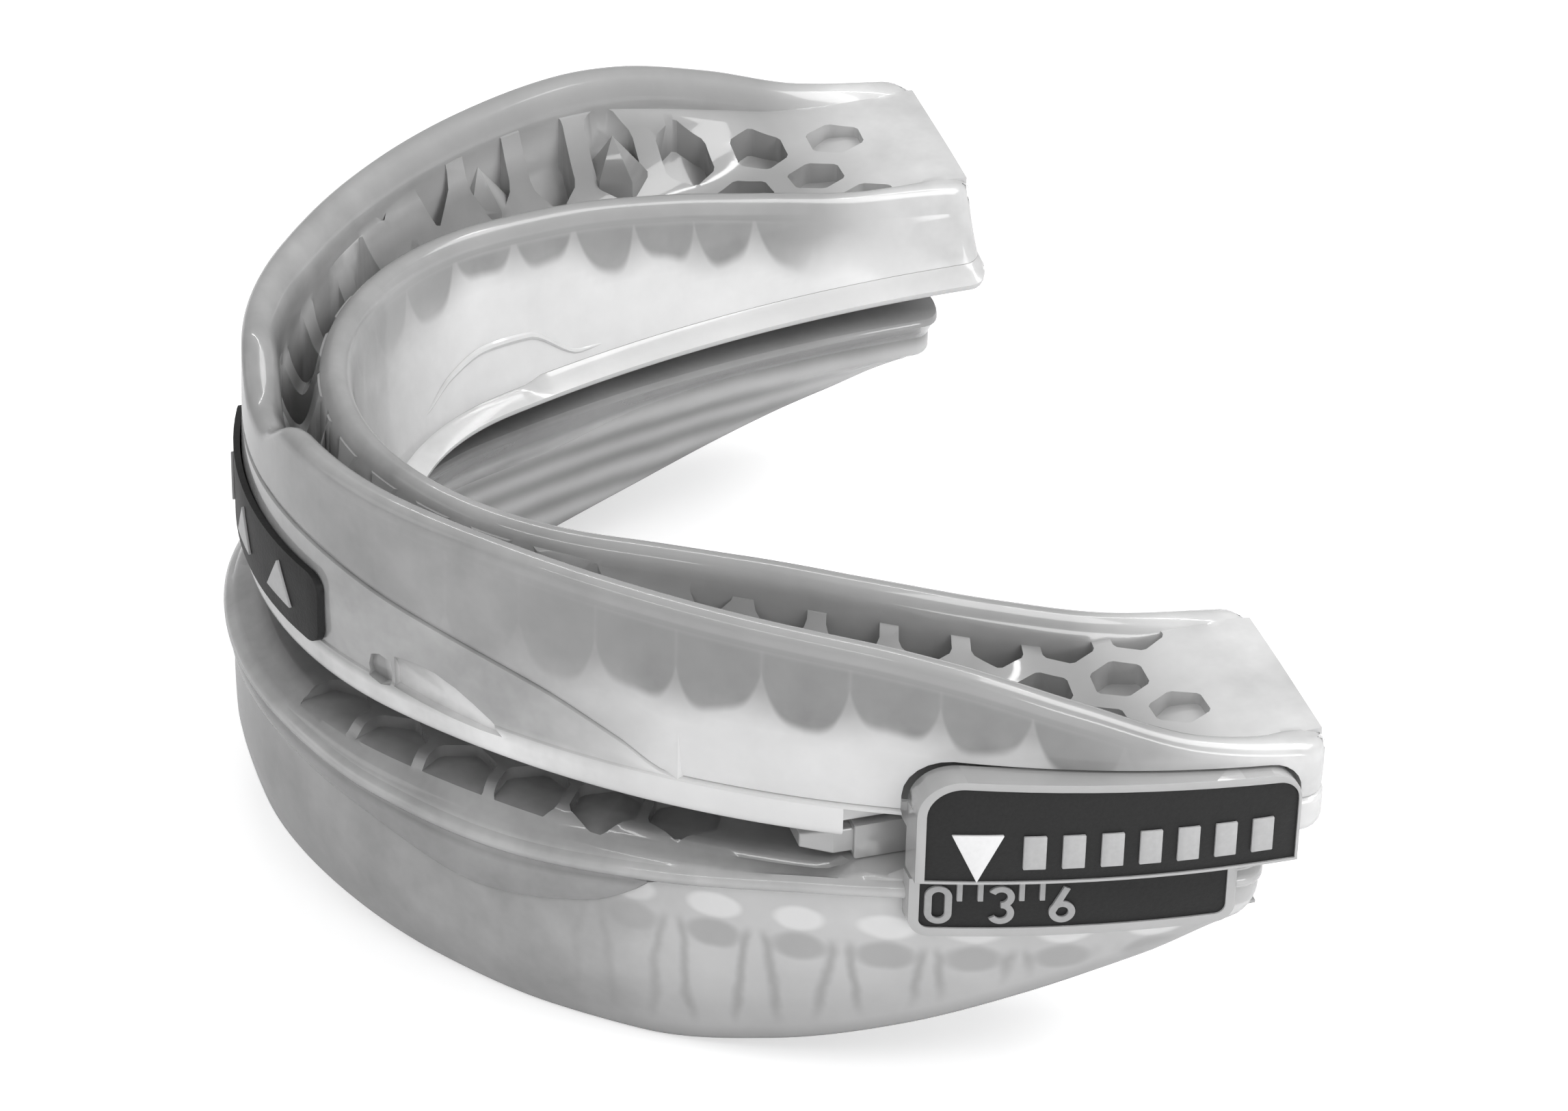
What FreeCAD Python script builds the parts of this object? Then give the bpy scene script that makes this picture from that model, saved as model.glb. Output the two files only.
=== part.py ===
import FreeCAD, Part
import math
import os

import Sketcher

# Adjustable two-tray mouthguard. Units are millimetres.
# +X is the wearer's left, -Y the front teeth, +Z up. The origin is at the middle of the footprint, at the
# height of the lowest rim. Left-hand pieces are modelled; right-hand ones are their mirror images, except
# the scale marks, which stay readable.

doc = FreeCAD.newDocument("mouthguard")
sizes = doc.addObject("Spreadsheet::Sheet", "sizes")

DRIVING_SIZES = {
    # arch of the upper tray, seen from above: a front arc that runs on into two side arcs
    "front_y": -22.8, "back_y": 24.0, "front_radius": 23.0, "front_angle": 35.5, "end_reach": 35.15,
    # tongue side of the arch
    "tongue_y": -16.9, "tongue_radius": 16.3, "tongue_angle": 67.5, "tongue_reach": 21.5,
    "plate_flare": 3.2, "liner_flare": 1.8,
    # heights of the upper tray
    "upper_base": 15.3, "upper_plate_top": 17.7, "upper_floor": 19.6, "upper_front_top": 27.8,
    "upper_end_top": 20.0, "upper_tongue_drop": 2.0, "wall": 2.2, "tongue_wall": 1.8,
    "skirt_wall": 1.2, "skirt_top": 22.8, "skirt_end_y": -6.4,
    "step_y": 0.35, "step_top": 17.0, "step_inner": 28.2, "notch_radius": 5.0, "notch_depth": 2.0,
    "rim_knee_y": -10.8, "rim_turn_y": 11.2, "rim_turn_top": 23.4,
    # points that the rim's, the skirt's and the lower rim's curves pass through
    "knee_drop": 0.35, "bend_run": 12.0, "bend_drop": 1.45, "end_run": 6.0, "end_rise": 1.1,
    "skirt_run": 9.8, "skirt_fall": 2.4, "skirt_sink": 0.3,
    "lower_front_rise": 1.0, "lower_bend_run": 18.0, "lower_bend_base": 3.0, "lower_turn_run": 6.0,
    "lower_turn_drop": 2.1, "lower_end_rise": 2.4, "tongue_overlap": 0.5,
    # lower tray
    "lower_front_y": -24.0, "lower_back_y": 21.2, "lower_radius": 22.7, "lower_reach": 34.85,
    "lower_tongue_y": -18.6, "lower_top": 13.9, "lower_plate_base": 10.7, "lower_floor": 9.8,
    "lower_inset": 0.5, "lower_front_base": 1.8, "lower_end_base": 9.5,
    "land_front_y": -15.0, "land_back_y": -9.0,
    # slide rail: a body between the trays, a tee head in the upper plate, two feet in the lower plate
    "rail_inner": 23.9, "rail_outer": 28.6, "rail_base": 13.1, "rail_top": 15.1,
    "rail_nose_y": -1.3, "nose_room": 0.6, "rail_shoulder_y": 2.8, "rail_back_y": 21.2,
    "head_middle": 25.0, "head_half": 1.7, "neck_half": 0.9, "head_base": 15.95, "head_top": 16.7,
    "foot_half": 0.8, "foot_length": 4.0, "foot_flange": 0.8, "foot_base": 11.25, "foot_step": 12.0,
    "foot_front_y": 6.2, "foot_pitch": 8.0, "plug_back_y": 1.3, "plug_taper": 1.6, "plug_inset": 0.3,
    "running_gap": 0.08, "advance_back": 1.5, "advance_forward": 4.5, "side_travel": 1.5,
    # ratchet
    "rack_pitch": 0.5, "rack_depth": 0.3, "pawl_wall": 1.2, "pawl_gap": 0.06, "pawl_teeth": 8,
    "pawl_front_y": 5.1, "pawl_back_y": 19.3, "pawl_teeth_y": 10.2, "arm_base": 16.9, "arm_top": 17.6,
    "arm_width": 3.0, "arm_root": 0.3, "arm_front_y": 6.2, "arm_pitch": 9.0,
    # squeeze tab: a plate curved about a vertical axis
    "tab_axis_x": -24.4, "tab_axis_y": 22.2, "tab_radius": 60.0, "tab_thickness": 1.5, "tab_travel": 1.0,
    "tab_front_y": 3.2, "tab_back_y": 22.2, "tab_base": 14.0, "tab_front_top": 20.3, "tab_back_top": 19.3,
    "tab_front_round": 2.2, "tab_back_round": 1.6, "tab_rim": 0.45, "tab_lip": 0.15,
    "inlay_depth": 0.4, "inlay_sunk": 0.1, "recess_gap": 0.2, "mark_height": 0.15,
    "arrow_tip_y": 6.1, "arrow_half": 1.25, "arrow_base": 14.15, "arrow_top": 17.0,
    "grip_front_y": 8.3, "grip_pitch": 1.9, "grip_width": 1.1, "grip_base": 14.9, "grip_top": 16.9,
    # scale on the lower tray
    "scale_radius": 59.2, "scale_thickness": 0.9, "scale_front_y": 3.2, "scale_back_y": 19.4,
    "scale_base": 10.2, "scale_top": 13.7, "scale_rim": 0.5, "scale_round": 1.0, "scale_zero_y": 4.6,
    "digit_base": 11.0, "digit_top": 13.3, "digit_width": 1.3, "stroke": 0.34, "tick_base": 12.4,
    "tick_top": 13.5, "tick_width": 0.25,
    # tab on the front of the upper tray
    "tag_half": 8.9, "tag_base": 16.9, "tag_top": 21.1, "tag_thickness": 0.35, "tag_round": 0.9,
    "triangle_pitch": 5.34, "triangle_half": 1.3, "triangle_low": 1.1, "triangle_high": 0.9,
    # leaf spring behind each squeeze tab
    "leaf_radius": 3.6, "leaf_thickness": 0.3, "leaf_y": 12.2, "leaf_base": 15.6, "leaf_top": 16.8,
    "leaf_gap": 0.02,
    # run-out of cutting shapes past the surfaces that they cut
    "run_out": 10.0, "past": 1.0,
}
for row, (alias, value) in enumerate(DRIVING_SIZES.items(), start=1):
    sizes.set(f"A{row}", alias)
    sizes.set(f"B{row}", str(value))
    sizes.setAlias(f"B{row}", alias)
doc.recompute()

TALL = 60.0                  # longer than anything that it has to cut through
HALF_TURN = math.pi
parts_to_write = []


def words(expression):
    """The expression with every bare size name pointed at the sheet."""
    text = str(expression)
    for alias in sorted(DRIVING_SIZES, key=len, reverse=True):
        text = _point_at_sheet(text, alias)
    return text


def _point_at_sheet(text, alias):
    pieces = text.split(alias)
    joined = pieces[0]
    for piece in pieces[1:]:
        before = joined[-1:] or " "
        after = piece[:1] or " "
        whole_word = not (before.isalnum() or before in "_.") and not (after.isalnum() or after == "_")
        joined += ("sizes." + alias if whole_word else alias) + piece
    return joined


def number(expression):
    return float(sizes.evalExpression(words(expression)))


def bind(thing, **expressions):
    for name, expression in expressions.items():
        thing.setExpression(name, words(expression))


def move(thing, x="0", y="0", z="0"):
    thing.setExpression("Placement.Base.x", words(x))
    thing.setExpression("Placement.Base.y", words(y))
    thing.setExpression("Placement.Base.z", words(z))


# Solids that the sub-parts are put together from --------------------------------------------------

def block(x0, x1, y0, y1, z0, z1):
    """A box between two corners, each given as an expression of the sheet's sizes."""
    box = doc.addObject("Part::Box", "block")
    bind(box, Length=f"({x1})-({x0})", Width=f"({y1})-({y0})", Height=f"({z1})-({z0})")
    move(box, x0, y0, z0)
    return box


def joined(*things):
    union = doc.addObject("Part::MultiFuse", "joined")
    union.Shapes = list(things)
    return union


def cut(base, *tools):
    result = doc.addObject("Part::Cut", "cut")
    result.Base = base
    result.Tool = tools[0] if len(tools) == 1 else joined(*tools)
    return result


def overlap(*things):
    common = doc.addObject("Part::MultiCommon", "overlap")
    common.Shapes = list(things)
    return common


def mirrored(thing):
    mirror = doc.addObject("Part::Mirroring", "mirror")
    mirror.Source = thing
    mirror.Normal = (1, 0, 0)
    return mirror


def both_sides(thing):
    return joined(thing, mirrored(thing))


def finish(thing, label):
    """Names a sub-part; the label is also its file's name."""
    thing.Label = label
    parts_to_write.append(thing)
    return thing


def finish_pair(thing, label):
    finish(thing, label + "_left")
    finish(mirrored(thing), label + "_right")


def rounded(base, axis, corners):
    """Fillets the edges parallel to an axis that pass near given corners: (first, second coordinate, radius),
    the coordinates being the two that the axis leaves, in X, Y, Z order."""
    doc.recompute()
    across = [index for index in range(3) if index != axis]
    chosen = []
    for index, edge in enumerate(base.Shape.Edges, start=1):
        ends = [vertex.Point for vertex in edge.Vertexes]
        parallel = len(ends) == 2 and all(abs(ends[0][way] - ends[1][way]) < 1e-6 for way in across)
        for first, second, radius in corners:
            gap = math.hypot(ends[0][across[0]] - number(first), ends[0][across[1]] - number(second))
            if parallel and gap < 0.01:
                chosen.append((index, number(radius), number(radius)))
    fillet = doc.addObject("Part::Fillet", "rounded")
    fillet.Base = base
    fillet.Edges = chosen
    return fillet


def shell(axis_x, axis_y, radius_in, radius_out, z0, z1):
    """A tube about a vertical axis."""
    tubes = []
    for radius in (radius_out, radius_in):
        tube = doc.addObject("Part::Cylinder", "tube")
        bind(tube, Radius=radius, Height=f"({z1})-({z0})")
        move(tube, axis_x, axis_y, z0)
        tubes.append(tube)
    return cut(*tubes)


# Arch outlines ------------------------------------------------------------------------------------

def on_plane(body, name, role):
    sketch = body.newObject("Sketcher::SketchObject", name)
    plane = next(feature for feature in body.Origin.OriginFeatures if feature.Role == role)
    sketch.AttachmentSupport = [(plane, "")]
    sketch.MapMode = "FlatFace"
    return sketch


def arc(centre, radius, start, end):
    circle = Part.Circle(centre, FreeCAD.Vector(0, 0, 1), radius)
    return Part.ArcOfCircle(circle, start, end)


def add_arch(sketch, tag, front, radius, angle, reach, back):
    """Adds front, right and left arcs to a sketch, tied to the sheet. All three run anticlockwise."""
    r, y0, half = number(radius), number(front), math.radians(number(angle))
    x1, y1 = r * math.sin(half), y0 + r * (1 - math.cos(half))
    x2, y2 = number(reach), number(back)
    chord = math.atan2(y2 - y1, x2 - x1)
    side_radius = math.hypot(x2 - x1, y2 - y1) / (2 * math.sin(chord - half))
    turned = 2 * chord - half
    centre_x = x1 - side_radius * math.sin(half)
    centre_y = y1 + side_radius * math.cos(half)
    quarter = HALF_TURN / 2
    middle = arc(FreeCAD.Vector(0, y0 + r, 0), r, -quarter - half, -quarter + half)
    right = arc(FreeCAD.Vector(centre_x, centre_y, 0), side_radius, half - quarter, turned - quarter)
    left = arc(FreeCAD.Vector(-centre_x, centre_y, 0), side_radius,
               HALF_TURN - turned + quarter, HALF_TURN - half + quarter)
    m, a, b = [sketch.addGeometry(curve, False) for curve in (middle, right, left)]
    rules = [
        ("PointOnObject", m, 3, -2),
        ("Tangent", m, 2, a, 1),
        ("Tangent", b, 2, m, 1),
        ("Symmetric", m, 1, m, 2, -2),
        ("Symmetric", b, 1, a, 2, -2),
    ]
    for rule in rules:
        sketch.addConstraint(Sketcher.Constraint(*rule))
    named = [
        ("radius", Sketcher.Constraint("Radius", m, r), radius),
        ("centre", Sketcher.Constraint("DistanceY", -1, 1, m, 3, y0 + r), f"({front})+({radius})"),
        ("turn", Sketcher.Constraint("DistanceX", -1, 1, m, 2, x1), f"({radius})*sin(({angle})*1deg)"),
        ("reach", Sketcher.Constraint("DistanceX", -1, 1, a, 2, x2), reach),
        ("back", Sketcher.Constraint("DistanceY", -1, 1, a, 2, y2), back),
    ]
    for name, rule, expression in named:
        index = sketch.addConstraint(rule)
        sketch.renameConstraint(index, f"{tag}_{name}")
        sketch.setExpression(f"Constraints.{tag}_{name}", words(expression))
    return a, b


def arch_band(name, outer, inner, z0, z1):
    """A horse-shoe slab between an outer and an inner arch, each (front, radius, angle, reach, back)."""
    body = doc.addObject("PartDesign::Body", name)
    sketch = on_plane(body, name + "_outline", "XY_Plane")
    outer_right, outer_left = add_arch(sketch, "outer", *outer)
    inner_right, inner_left = add_arch(sketch, "inner", *inner)
    for near, near_end, far, far_end in ((outer_right, 2, inner_right, 2), (outer_left, 1, inner_left, 1)):
        start = sketch.getPoint(near, near_end)
        end = sketch.getPoint(far, far_end)
        line = sketch.addGeometry(Part.LineSegment(start, end), False)
        sketch.addConstraint(Sketcher.Constraint("Coincident", line, 1, near, near_end))
        sketch.addConstraint(Sketcher.Constraint("Coincident", line, 2, far, far_end))
    bind(sketch, **{"AttachmentOffset.Base.z": z0})
    slab = body.newObject("PartDesign::Pad", name + "_slab")
    slab.Profile = sketch
    bind(slab, Length=f"({z1})-({z0})")
    return body


def outer_arch(inset="0"):
    return (f"front_y+({inset})", f"front_radius-({inset})", "front_angle", f"end_reach-({inset})", "back_y")


def tongue_arch(shift, front="tongue_y", back="back_y"):
    """The tongue side, moved towards the teeth by shift (towards the tongue where it is negative)."""
    return (f"({front})-({shift})", f"tongue_radius+({shift})", "tongue_angle",
            f"tongue_reach+({shift})", back)


def lower_arch(inset="0"):
    return (f"lower_front_y+({inset})", f"lower_radius-({inset})", "front_angle",
            f"lower_reach-({inset})", "lower_back_y")


def prism(name, role, points, closing=()):
    """A prism through the whole arch from an outline in the YZ or XZ plane. points are (across, height,
    through), through being a point of the arc that ends there, or None for a straight line; closing lists
    further straight corners."""
    body = doc.addObject("PartDesign::Body", name)
    sketch = on_plane(body, name + "_outline", role)
    corners = [FreeCAD.Vector(number(across), number(height), 0) for across, height, _ in points]
    last = corners[0]
    for (_, _, through), corner in zip(points[1:], corners[1:]):
        curve = Part.LineSegment(last, corner)
        if through is not None:
            curve = Part.Arc(last, FreeCAD.Vector(number(through[0]), number(through[1]), 0), corner)
        sketch.addGeometry(curve, False)
        last = corner
    for across, height in closing:
        corner = FreeCAD.Vector(number(across), number(height), 0)
        sketch.addGeometry(Part.LineSegment(last, corner), False)
        last = corner
    sketch.addGeometry(Part.LineSegment(last, corners[0]), False)
    tie_to_sheet(sketch, points)
    slab = body.newObject("PartDesign::Pad", name + "_slab")
    slab.Profile = sketch
    slab.SideType = "Symmetric"
    slab.Length = 2 * TALL
    return body


def tie_to_sheet(sketch, points):
    """Joins the outline's curves end to end and places each stated corner by the sheet's sizes."""
    ends = []
    for index in range(sketch.GeometryCount):
        ends.append([sketch.getPoint(index, 1), sketch.getPoint(index, 2)])
    count = len(ends)
    start_of = []
    for index in range(count):
        before = ends[index - 1]
        forward = min((ends[index][0] - point).Length for point in before) < 1e-6
        start_of.append(1 if forward else 2)
    for index in range(count):
        after = (index + 1) % count
        rule = Sketcher.Constraint("Coincident", index, 3 - start_of[index], after, start_of[after])
        sketch.addConstraint(rule)
    for index, (across, height, _) in enumerate(points):
        for kind, expression in (("DistanceX", across), ("DistanceY", height)):
            rule = Sketcher.Constraint(kind, -1, 1, index, start_of[index], number(expression))
            at = sketch.addConstraint(rule)
            sketch.renameConstraint(at, f"{kind}_{index}")
            sketch.setExpression(f"Constraints.{kind}_{index}", words(expression))


# Upper tray ---------------------------------------------------------------------------------------

ABOVE = (("back_y+run_out", "upper_front_top+2*run_out"), ("front_y-run_out", "upper_front_top+2*run_out"))
BELOW = (("back_y+run_out", "-2*run_out"), ("front_y-run_out", "-2*run_out"))


def gap_above_rim(drop):
    """What lies above a rim that is high in front, falls along the arms and is level at the ends."""
    top = f"upper_front_top-({drop})"
    end = f"upper_end_top-({drop})*0.2"
    return prism("above_rim", "YZ_Plane", [
        ("front_y-run_out", top, None),
        ("rim_knee_y", f"{top}-knee_drop", None),
        ("rim_turn_y", f"rim_turn_top-({drop})*0.5",
         ("rim_knee_y+bend_run", f"{top}-bend_drop-({drop})*0.05")),
        ("back_y+0.5", end, ("rim_turn_y+end_run", f"upper_end_top+end_rise-({drop})*0.35")),
        ("back_y+run_out", end, None),
    ], ABOVE)


def tab_profile(outset, front_round, back_round, low_outset=None):
    """A block through the wall with the squeeze tab's side outline: a low wedge with two round corners.
    low_outset is for the bottom and back edges, where it differs."""
    low = outset if low_outset is None else low_outset
    wedge = doc.addObject("Part::Wedge", "tab_profile")
    bind(wedge, Xmin="0", X2min="0", Xmax="tab_radius/2", X2max="tab_radius/2",
         Ymin=f"tab_front_y-({outset})", Ymax=f"tab_back_y+({low})",
         Zmin=f"tab_base-({low})", Z2min=f"tab_base-({low})",
         Zmax=f"tab_front_top+({outset})", Z2max=f"tab_back_top+({outset})")
    move(wedge, "rail_inner")
    return rounded(wedge, 0, [
        (f"tab_front_y-({outset})", f"tab_front_top+({outset})", front_round),
        (f"tab_back_y+({low})", f"tab_back_top+({outset})", back_round),
    ])


def tab_shell(inner_depth, outer_depth):
    """The space between two depths below the squeeze tab's curved outer face."""
    return shell("tab_axis_x", "tab_axis_y", f"tab_radius-({inner_depth})", f"tab_radius-({outer_depth})",
                 "0", "upper_front_top")


def tab_recess():
    profile = tab_profile("recess_gap", "tab_front_round", "tab_back_round")
    below = block("rail_inner", "rail_inner+3*run_out", "tab_front_y-recess_gap", "tab_back_y+recess_gap",
                  "lower_top", "upper_base+past")
    return overlap(tab_shell("tab_thickness+tab_travel+recess_gap", "-2*run_out"), joined(profile, below))


def head_channel():
    """The tee slot in the upper plate that the rail's head slides in, with the pawl's and arms' room."""
    front = "rail_shoulder_y-advance_forward-running_gap"
    back = "rail_back_y+advance_back+running_gap"
    throat = block("head_middle-neck_half-running_gap", "head_middle+neck_half+running_gap",
                   front, back, "upper_base-past", "head_base")
    chamber = block("head_middle-head_half-running_gap", "head_middle+head_half+running_gap",
                    front, back, "head_base-running_gap", "head_top+running_gap")
    pawl_room = block("head_middle-head_half-pawl_gap-pawl_wall-tab_travel-running_gap",
                      "head_middle-head_half", "pawl_front_y-running_gap", "pawl_back_y+running_gap",
                      "head_base-running_gap", "upper_plate_top+past")
    arm_rooms = [
        block("head_middle-head_half-pawl_gap-pawl_wall-tab_travel-running_gap", "rail_inner+1.5*run_out",
              f"{front_edge}-running_gap", f"{front_edge}+arm_width+running_gap",
              "head_top", "upper_plate_top+past")
        for front_edge in ("arm_front_y", "arm_front_y+arm_pitch")
    ]
    return joined(throat, chamber, pawl_room, *arm_rooms)


def midline_notch():
    notch = doc.addObject("Part::Cylinder", "notch")
    bind(notch, Radius="notch_radius", Height="2*wall+4*past")
    notch.Placement.Rotation = FreeCAD.Rotation(FreeCAD.Vector(1, 0, 0), -90)
    move(notch, "0", "front_y-4*past", "upper_front_top-notch_depth+notch_radius")
    return notch


def upper_skirt():
    """The smooth band of the hard frame that runs up the front wall and tapers off along each side."""
    band = arch_band("skirt_band", outer_arch(), outer_arch("skirt_wall"), "upper_base+past",
                     "skirt_top+past")
    gap = prism("above_skirt", "YZ_Plane", [
        ("front_y-run_out", "skirt_top", None),
        ("front_y", "skirt_top", None),
        ("skirt_end_y", "upper_plate_top-skirt_sink", ("front_y+skirt_run", "skirt_top-skirt_fall")),
        ("back_y+run_out", "upper_plate_top-skirt_sink", None),
    ], ABOVE)
    return cut(band, gap)


def upper_frame(skirt):
    plate = arch_band("upper_plate", outer_arch(), tongue_arch("-plate_flare"), "upper_base",
                      "upper_plate_top")
    step = block("step_inner", "step_inner+1.5*run_out", "step_y", "tab_front_y+past/2", "upper_base-past",
                 "step_top")
    openings = both_sides(joined(head_channel(), tab_recess(), step))
    return cut(joined(plate, skirt), openings)


def upper_liner(skirt):
    block_of_lining = arch_band("upper_lining", outer_arch(), tongue_arch("-liner_flare"),
                                "upper_plate_top", "upper_front_top+past")
    trough = arch_band("upper_trough", outer_arch("wall"), tongue_arch("tongue_wall"), "upper_floor",
                       "upper_front_top+5*past")
    tongue_side = arch_band("tongue_side", tongue_arch("tongue_wall+tongue_overlap"),
                            tongue_arch("-6*past"), "upper_floor-5*past", "upper_front_top+5*past")
    low_tongue_side = overlap(tongue_side, gap_above_rim("upper_tongue_drop"))
    return cut(block_of_lining, trough, gap_above_rim("0"), low_tongue_side, midline_notch(), skirt,
               both_sides(tab_recess()))


def front_tag():
    ring = shell("0", "front_y+front_radius", "front_radius", "front_radius+tag_thickness",
                 "tag_base-past", "tag_top+past")
    slab = block("-tag_half", "tag_half", "front_y-3*past", "front_y+6*past", "tag_base", "tag_top")
    corners = [(across, height, "tag_round") for across in ("-tag_half", "tag_half")
               for height in ("tag_base", "tag_top")]
    return overlap(ring, rounded(slab, 1, corners))


def tag_mark():
    """Three plain upward triangles that say which tray is the upper one."""
    ring = shell("0", "front_y+front_radius", "front_radius+tag_thickness",
                 "front_radius+tag_thickness+mark_height", "tag_base-past", "tag_top+past")
    front_only = block("-tag_half", "tag_half", "front_y-3*past", "front_y+6*past", "tag_base", "tag_top")
    triangles = []
    for middle in ("-triangle_pitch", "0", "triangle_pitch"):
        triangles.append(prism("tag_triangle", "XZ_Plane", [
            (f"{middle}-triangle_half", "tag_base+triangle_low", None),
            (f"{middle}+triangle_half", "tag_base+triangle_low", None),
            (middle, "tag_top-triangle_high", None),
        ]))
    return overlap(ring, front_only, joined(*triangles))


def tab_spring():
    """A bowed leaf between the recess's floor and the squeeze tab's back."""
    reach = "tab_axis_x+sqrt((tab_radius-tab_thickness)^2-(tab_axis_y-leaf_y)^2)-leaf_gap"
    bow = shell(f"{reach}-leaf_radius", "leaf_y", "leaf_radius-leaf_thickness", "leaf_radius",
                "leaf_base", "leaf_top")
    gap = tab_shell("tab_thickness+tab_travel+recess_gap-leaf_gap", "tab_thickness+leaf_gap")
    return overlap(bow, gap)


# Slide rails --------------------------------------------------------------------------------------

def rack_teeth(name, face_x, first_y, count, base, top):
    """A row of pointed teeth that stand outwards from a face, one pitch apart."""
    body = doc.addObject("PartDesign::Body", name)
    sketch = on_plane(body, name + "_tooth", "XY_Plane")
    corners = [(face_x, f"{first_y}-rack_pitch/2"), (f"{face_x}+rack_depth", first_y),
               (face_x, f"{first_y}+rack_pitch/2")]
    points = [FreeCAD.Vector(number(x), number(y), 0) for x, y in corners]
    for start, end in zip(points, points[1:] + points[:1]):
        sketch.addGeometry(Part.LineSegment(start, end), False)
    tie_to_sheet(sketch, [(x, y, None) for x, y in corners])
    bind(sketch, **{"AttachmentOffset.Base.z": base})
    tooth = body.newObject("PartDesign::Pad", name + "_pad")
    tooth.Profile = sketch
    bind(tooth, Length=f"({top})-({base})")
    row = body.newObject("PartDesign::LinearPattern", name + "_row")
    row.Originals = [tooth]
    y_axis = next(feature for feature in body.Origin.OriginFeatures if feature.Role == "Y_Axis")
    row.Direction = (y_axis, [""])
    bind(row, Length=f"rack_pitch*(({count})-1)", Occurrences=count)
    body.Tip = row
    return body


def slide_rail():
    body = block("rail_inner", "rail_outer", "plug_back_y", "rail_back_y", "rail_base", "rail_top")
    plug = block("rail_inner+plug_inset", "rail_outer-plug_inset", "rail_nose_y+plug_taper", "plug_back_y",
                 "rail_base+plug_inset", "rail_top-plug_inset")
    tip = doc.addObject("Part::Wedge", "rail_tip")
    bind(tip, Ymin="rail_nose_y", Ymax="rail_nose_y+plug_taper",
         Xmin="rail_inner+3*plug_inset", X2min="rail_inner+plug_inset",
         Xmax="rail_outer-3*plug_inset", X2max="rail_outer-plug_inset",
         Zmin="rail_base+2*plug_inset", Z2min="rail_base+plug_inset",
         Zmax="rail_top-2*plug_inset", Z2max="rail_top-plug_inset")
    neck = block("head_middle-neck_half", "head_middle+neck_half", "rail_shoulder_y", "rail_back_y",
                 "rail_top", "head_base")
    head = block("head_middle-head_half", "head_middle+head_half", "rail_shoulder_y", "rail_back_y",
                 "head_base", "head_top")
    feet = []
    for front in ("foot_front_y", "foot_front_y+foot_pitch"):
        middle = "(rail_inner+rail_outer)/2"
        feet.append(block(f"{middle}-foot_half", f"{middle}+foot_half", front, f"{front}+foot_length",
                          "foot_step", "rail_base"))
        feet.append(block(f"{middle}-foot_half", f"{middle}+foot_half", f"{front}-foot_flange",
                          f"{front}+foot_length+foot_flange", "foot_base", "foot_step"))
    notches = rack_teeth("rack_notches", "head_middle-head_half", "rail_shoulder_y+rack_pitch*0.8",
                         "floor((rail_back_y-rail_shoulder_y)/rack_pitch)-1", "head_base-past/10",
                         "head_top+past/10")
    return cut(joined(body, plug, tip, neck, head, *feet), notches)


# Lower tray ---------------------------------------------------------------------------------------

def lower_tongue(shift):
    return tongue_arch(shift, "lower_tongue_y", "lower_back_y")


def gap_below_rim(rise):
    """What lies below the lower rim: low lands near the front, rising along the arms to the ends."""
    return prism("below_rim", "YZ_Plane", [
        ("front_y-run_out", f"lower_front_base+lower_front_rise+({rise})", None),
        ("land_front_y", rise, None),
        ("land_back_y", rise, None),
        ("lower_back_y-lower_turn_run", f"lower_end_base-lower_turn_drop+({rise})*0.4",
         ("lower_back_y-lower_bend_run", f"lower_bend_base+({rise})*0.7")),
        ("back_y+run_out", "lower_end_base+lower_end_rise", None),
    ], BELOW)


def rail_seat():
    """The shallow recess that the rail sits in, and the cross slots that its feet shift sideways in."""
    seat = block("rail_inner-side_travel-running_gap", "rail_outer+side_travel+running_gap",
                 "rail_nose_y-nose_room", "back_y", "rail_base-running_gap", "lower_top+past")
    reach = "foot_half+side_travel+running_gap"
    middle = "(rail_inner+rail_outer)/2"
    slots = []
    for front in ("foot_front_y", "foot_front_y+foot_pitch"):
        slots.append(block(f"{middle}-({reach})", f"{middle}+({reach})", f"{front}-running_gap",
                           f"{front}+foot_length+running_gap", "foot_step", "lower_top"))
        slots.append(block(f"{middle}-({reach})", f"{middle}+({reach})",
                           f"{front}-foot_flange-running_gap",
                           f"{front}+foot_length+foot_flange+running_gap",
                           "lower_plate_base-past", "foot_step+running_gap"))
    return joined(seat, *slots)


def scale_profile(inset, rounding):
    slab = block("rail_inner", "rail_inner+3*run_out", f"scale_front_y+({inset})", f"scale_back_y-({inset})",
                 f"scale_base+({inset})", f"scale_top-({inset})*0.2")
    corners = [(y, f"scale_base+({inset})", rounding)
               for y in (f"scale_front_y+({inset})", f"scale_back_y-({inset})")]
    return rounded(slab, 0, corners)


def scale_shell(inner_depth, outer_depth):
    return shell("tab_axis_x", "tab_axis_y", f"scale_radius-({inner_depth})",
                 f"scale_radius-({outer_depth})", "0", "lower_top+past")


def scale_pocket():
    around = block("rail_inner", "rail_inner+3*run_out", "scale_front_y", "scale_back_y", "scale_base",
                   "lower_top+past")
    return overlap(scale_shell("scale_thickness", "-2*run_out"), around)


def lower_frame():
    plate = arch_band("lower_plate", lower_arch(), lower_tongue("-plate_flare"), "lower_plate_base",
                      "lower_top")
    return cut(plate, both_sides(joined(rail_seat(), scale_pocket())))


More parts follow.
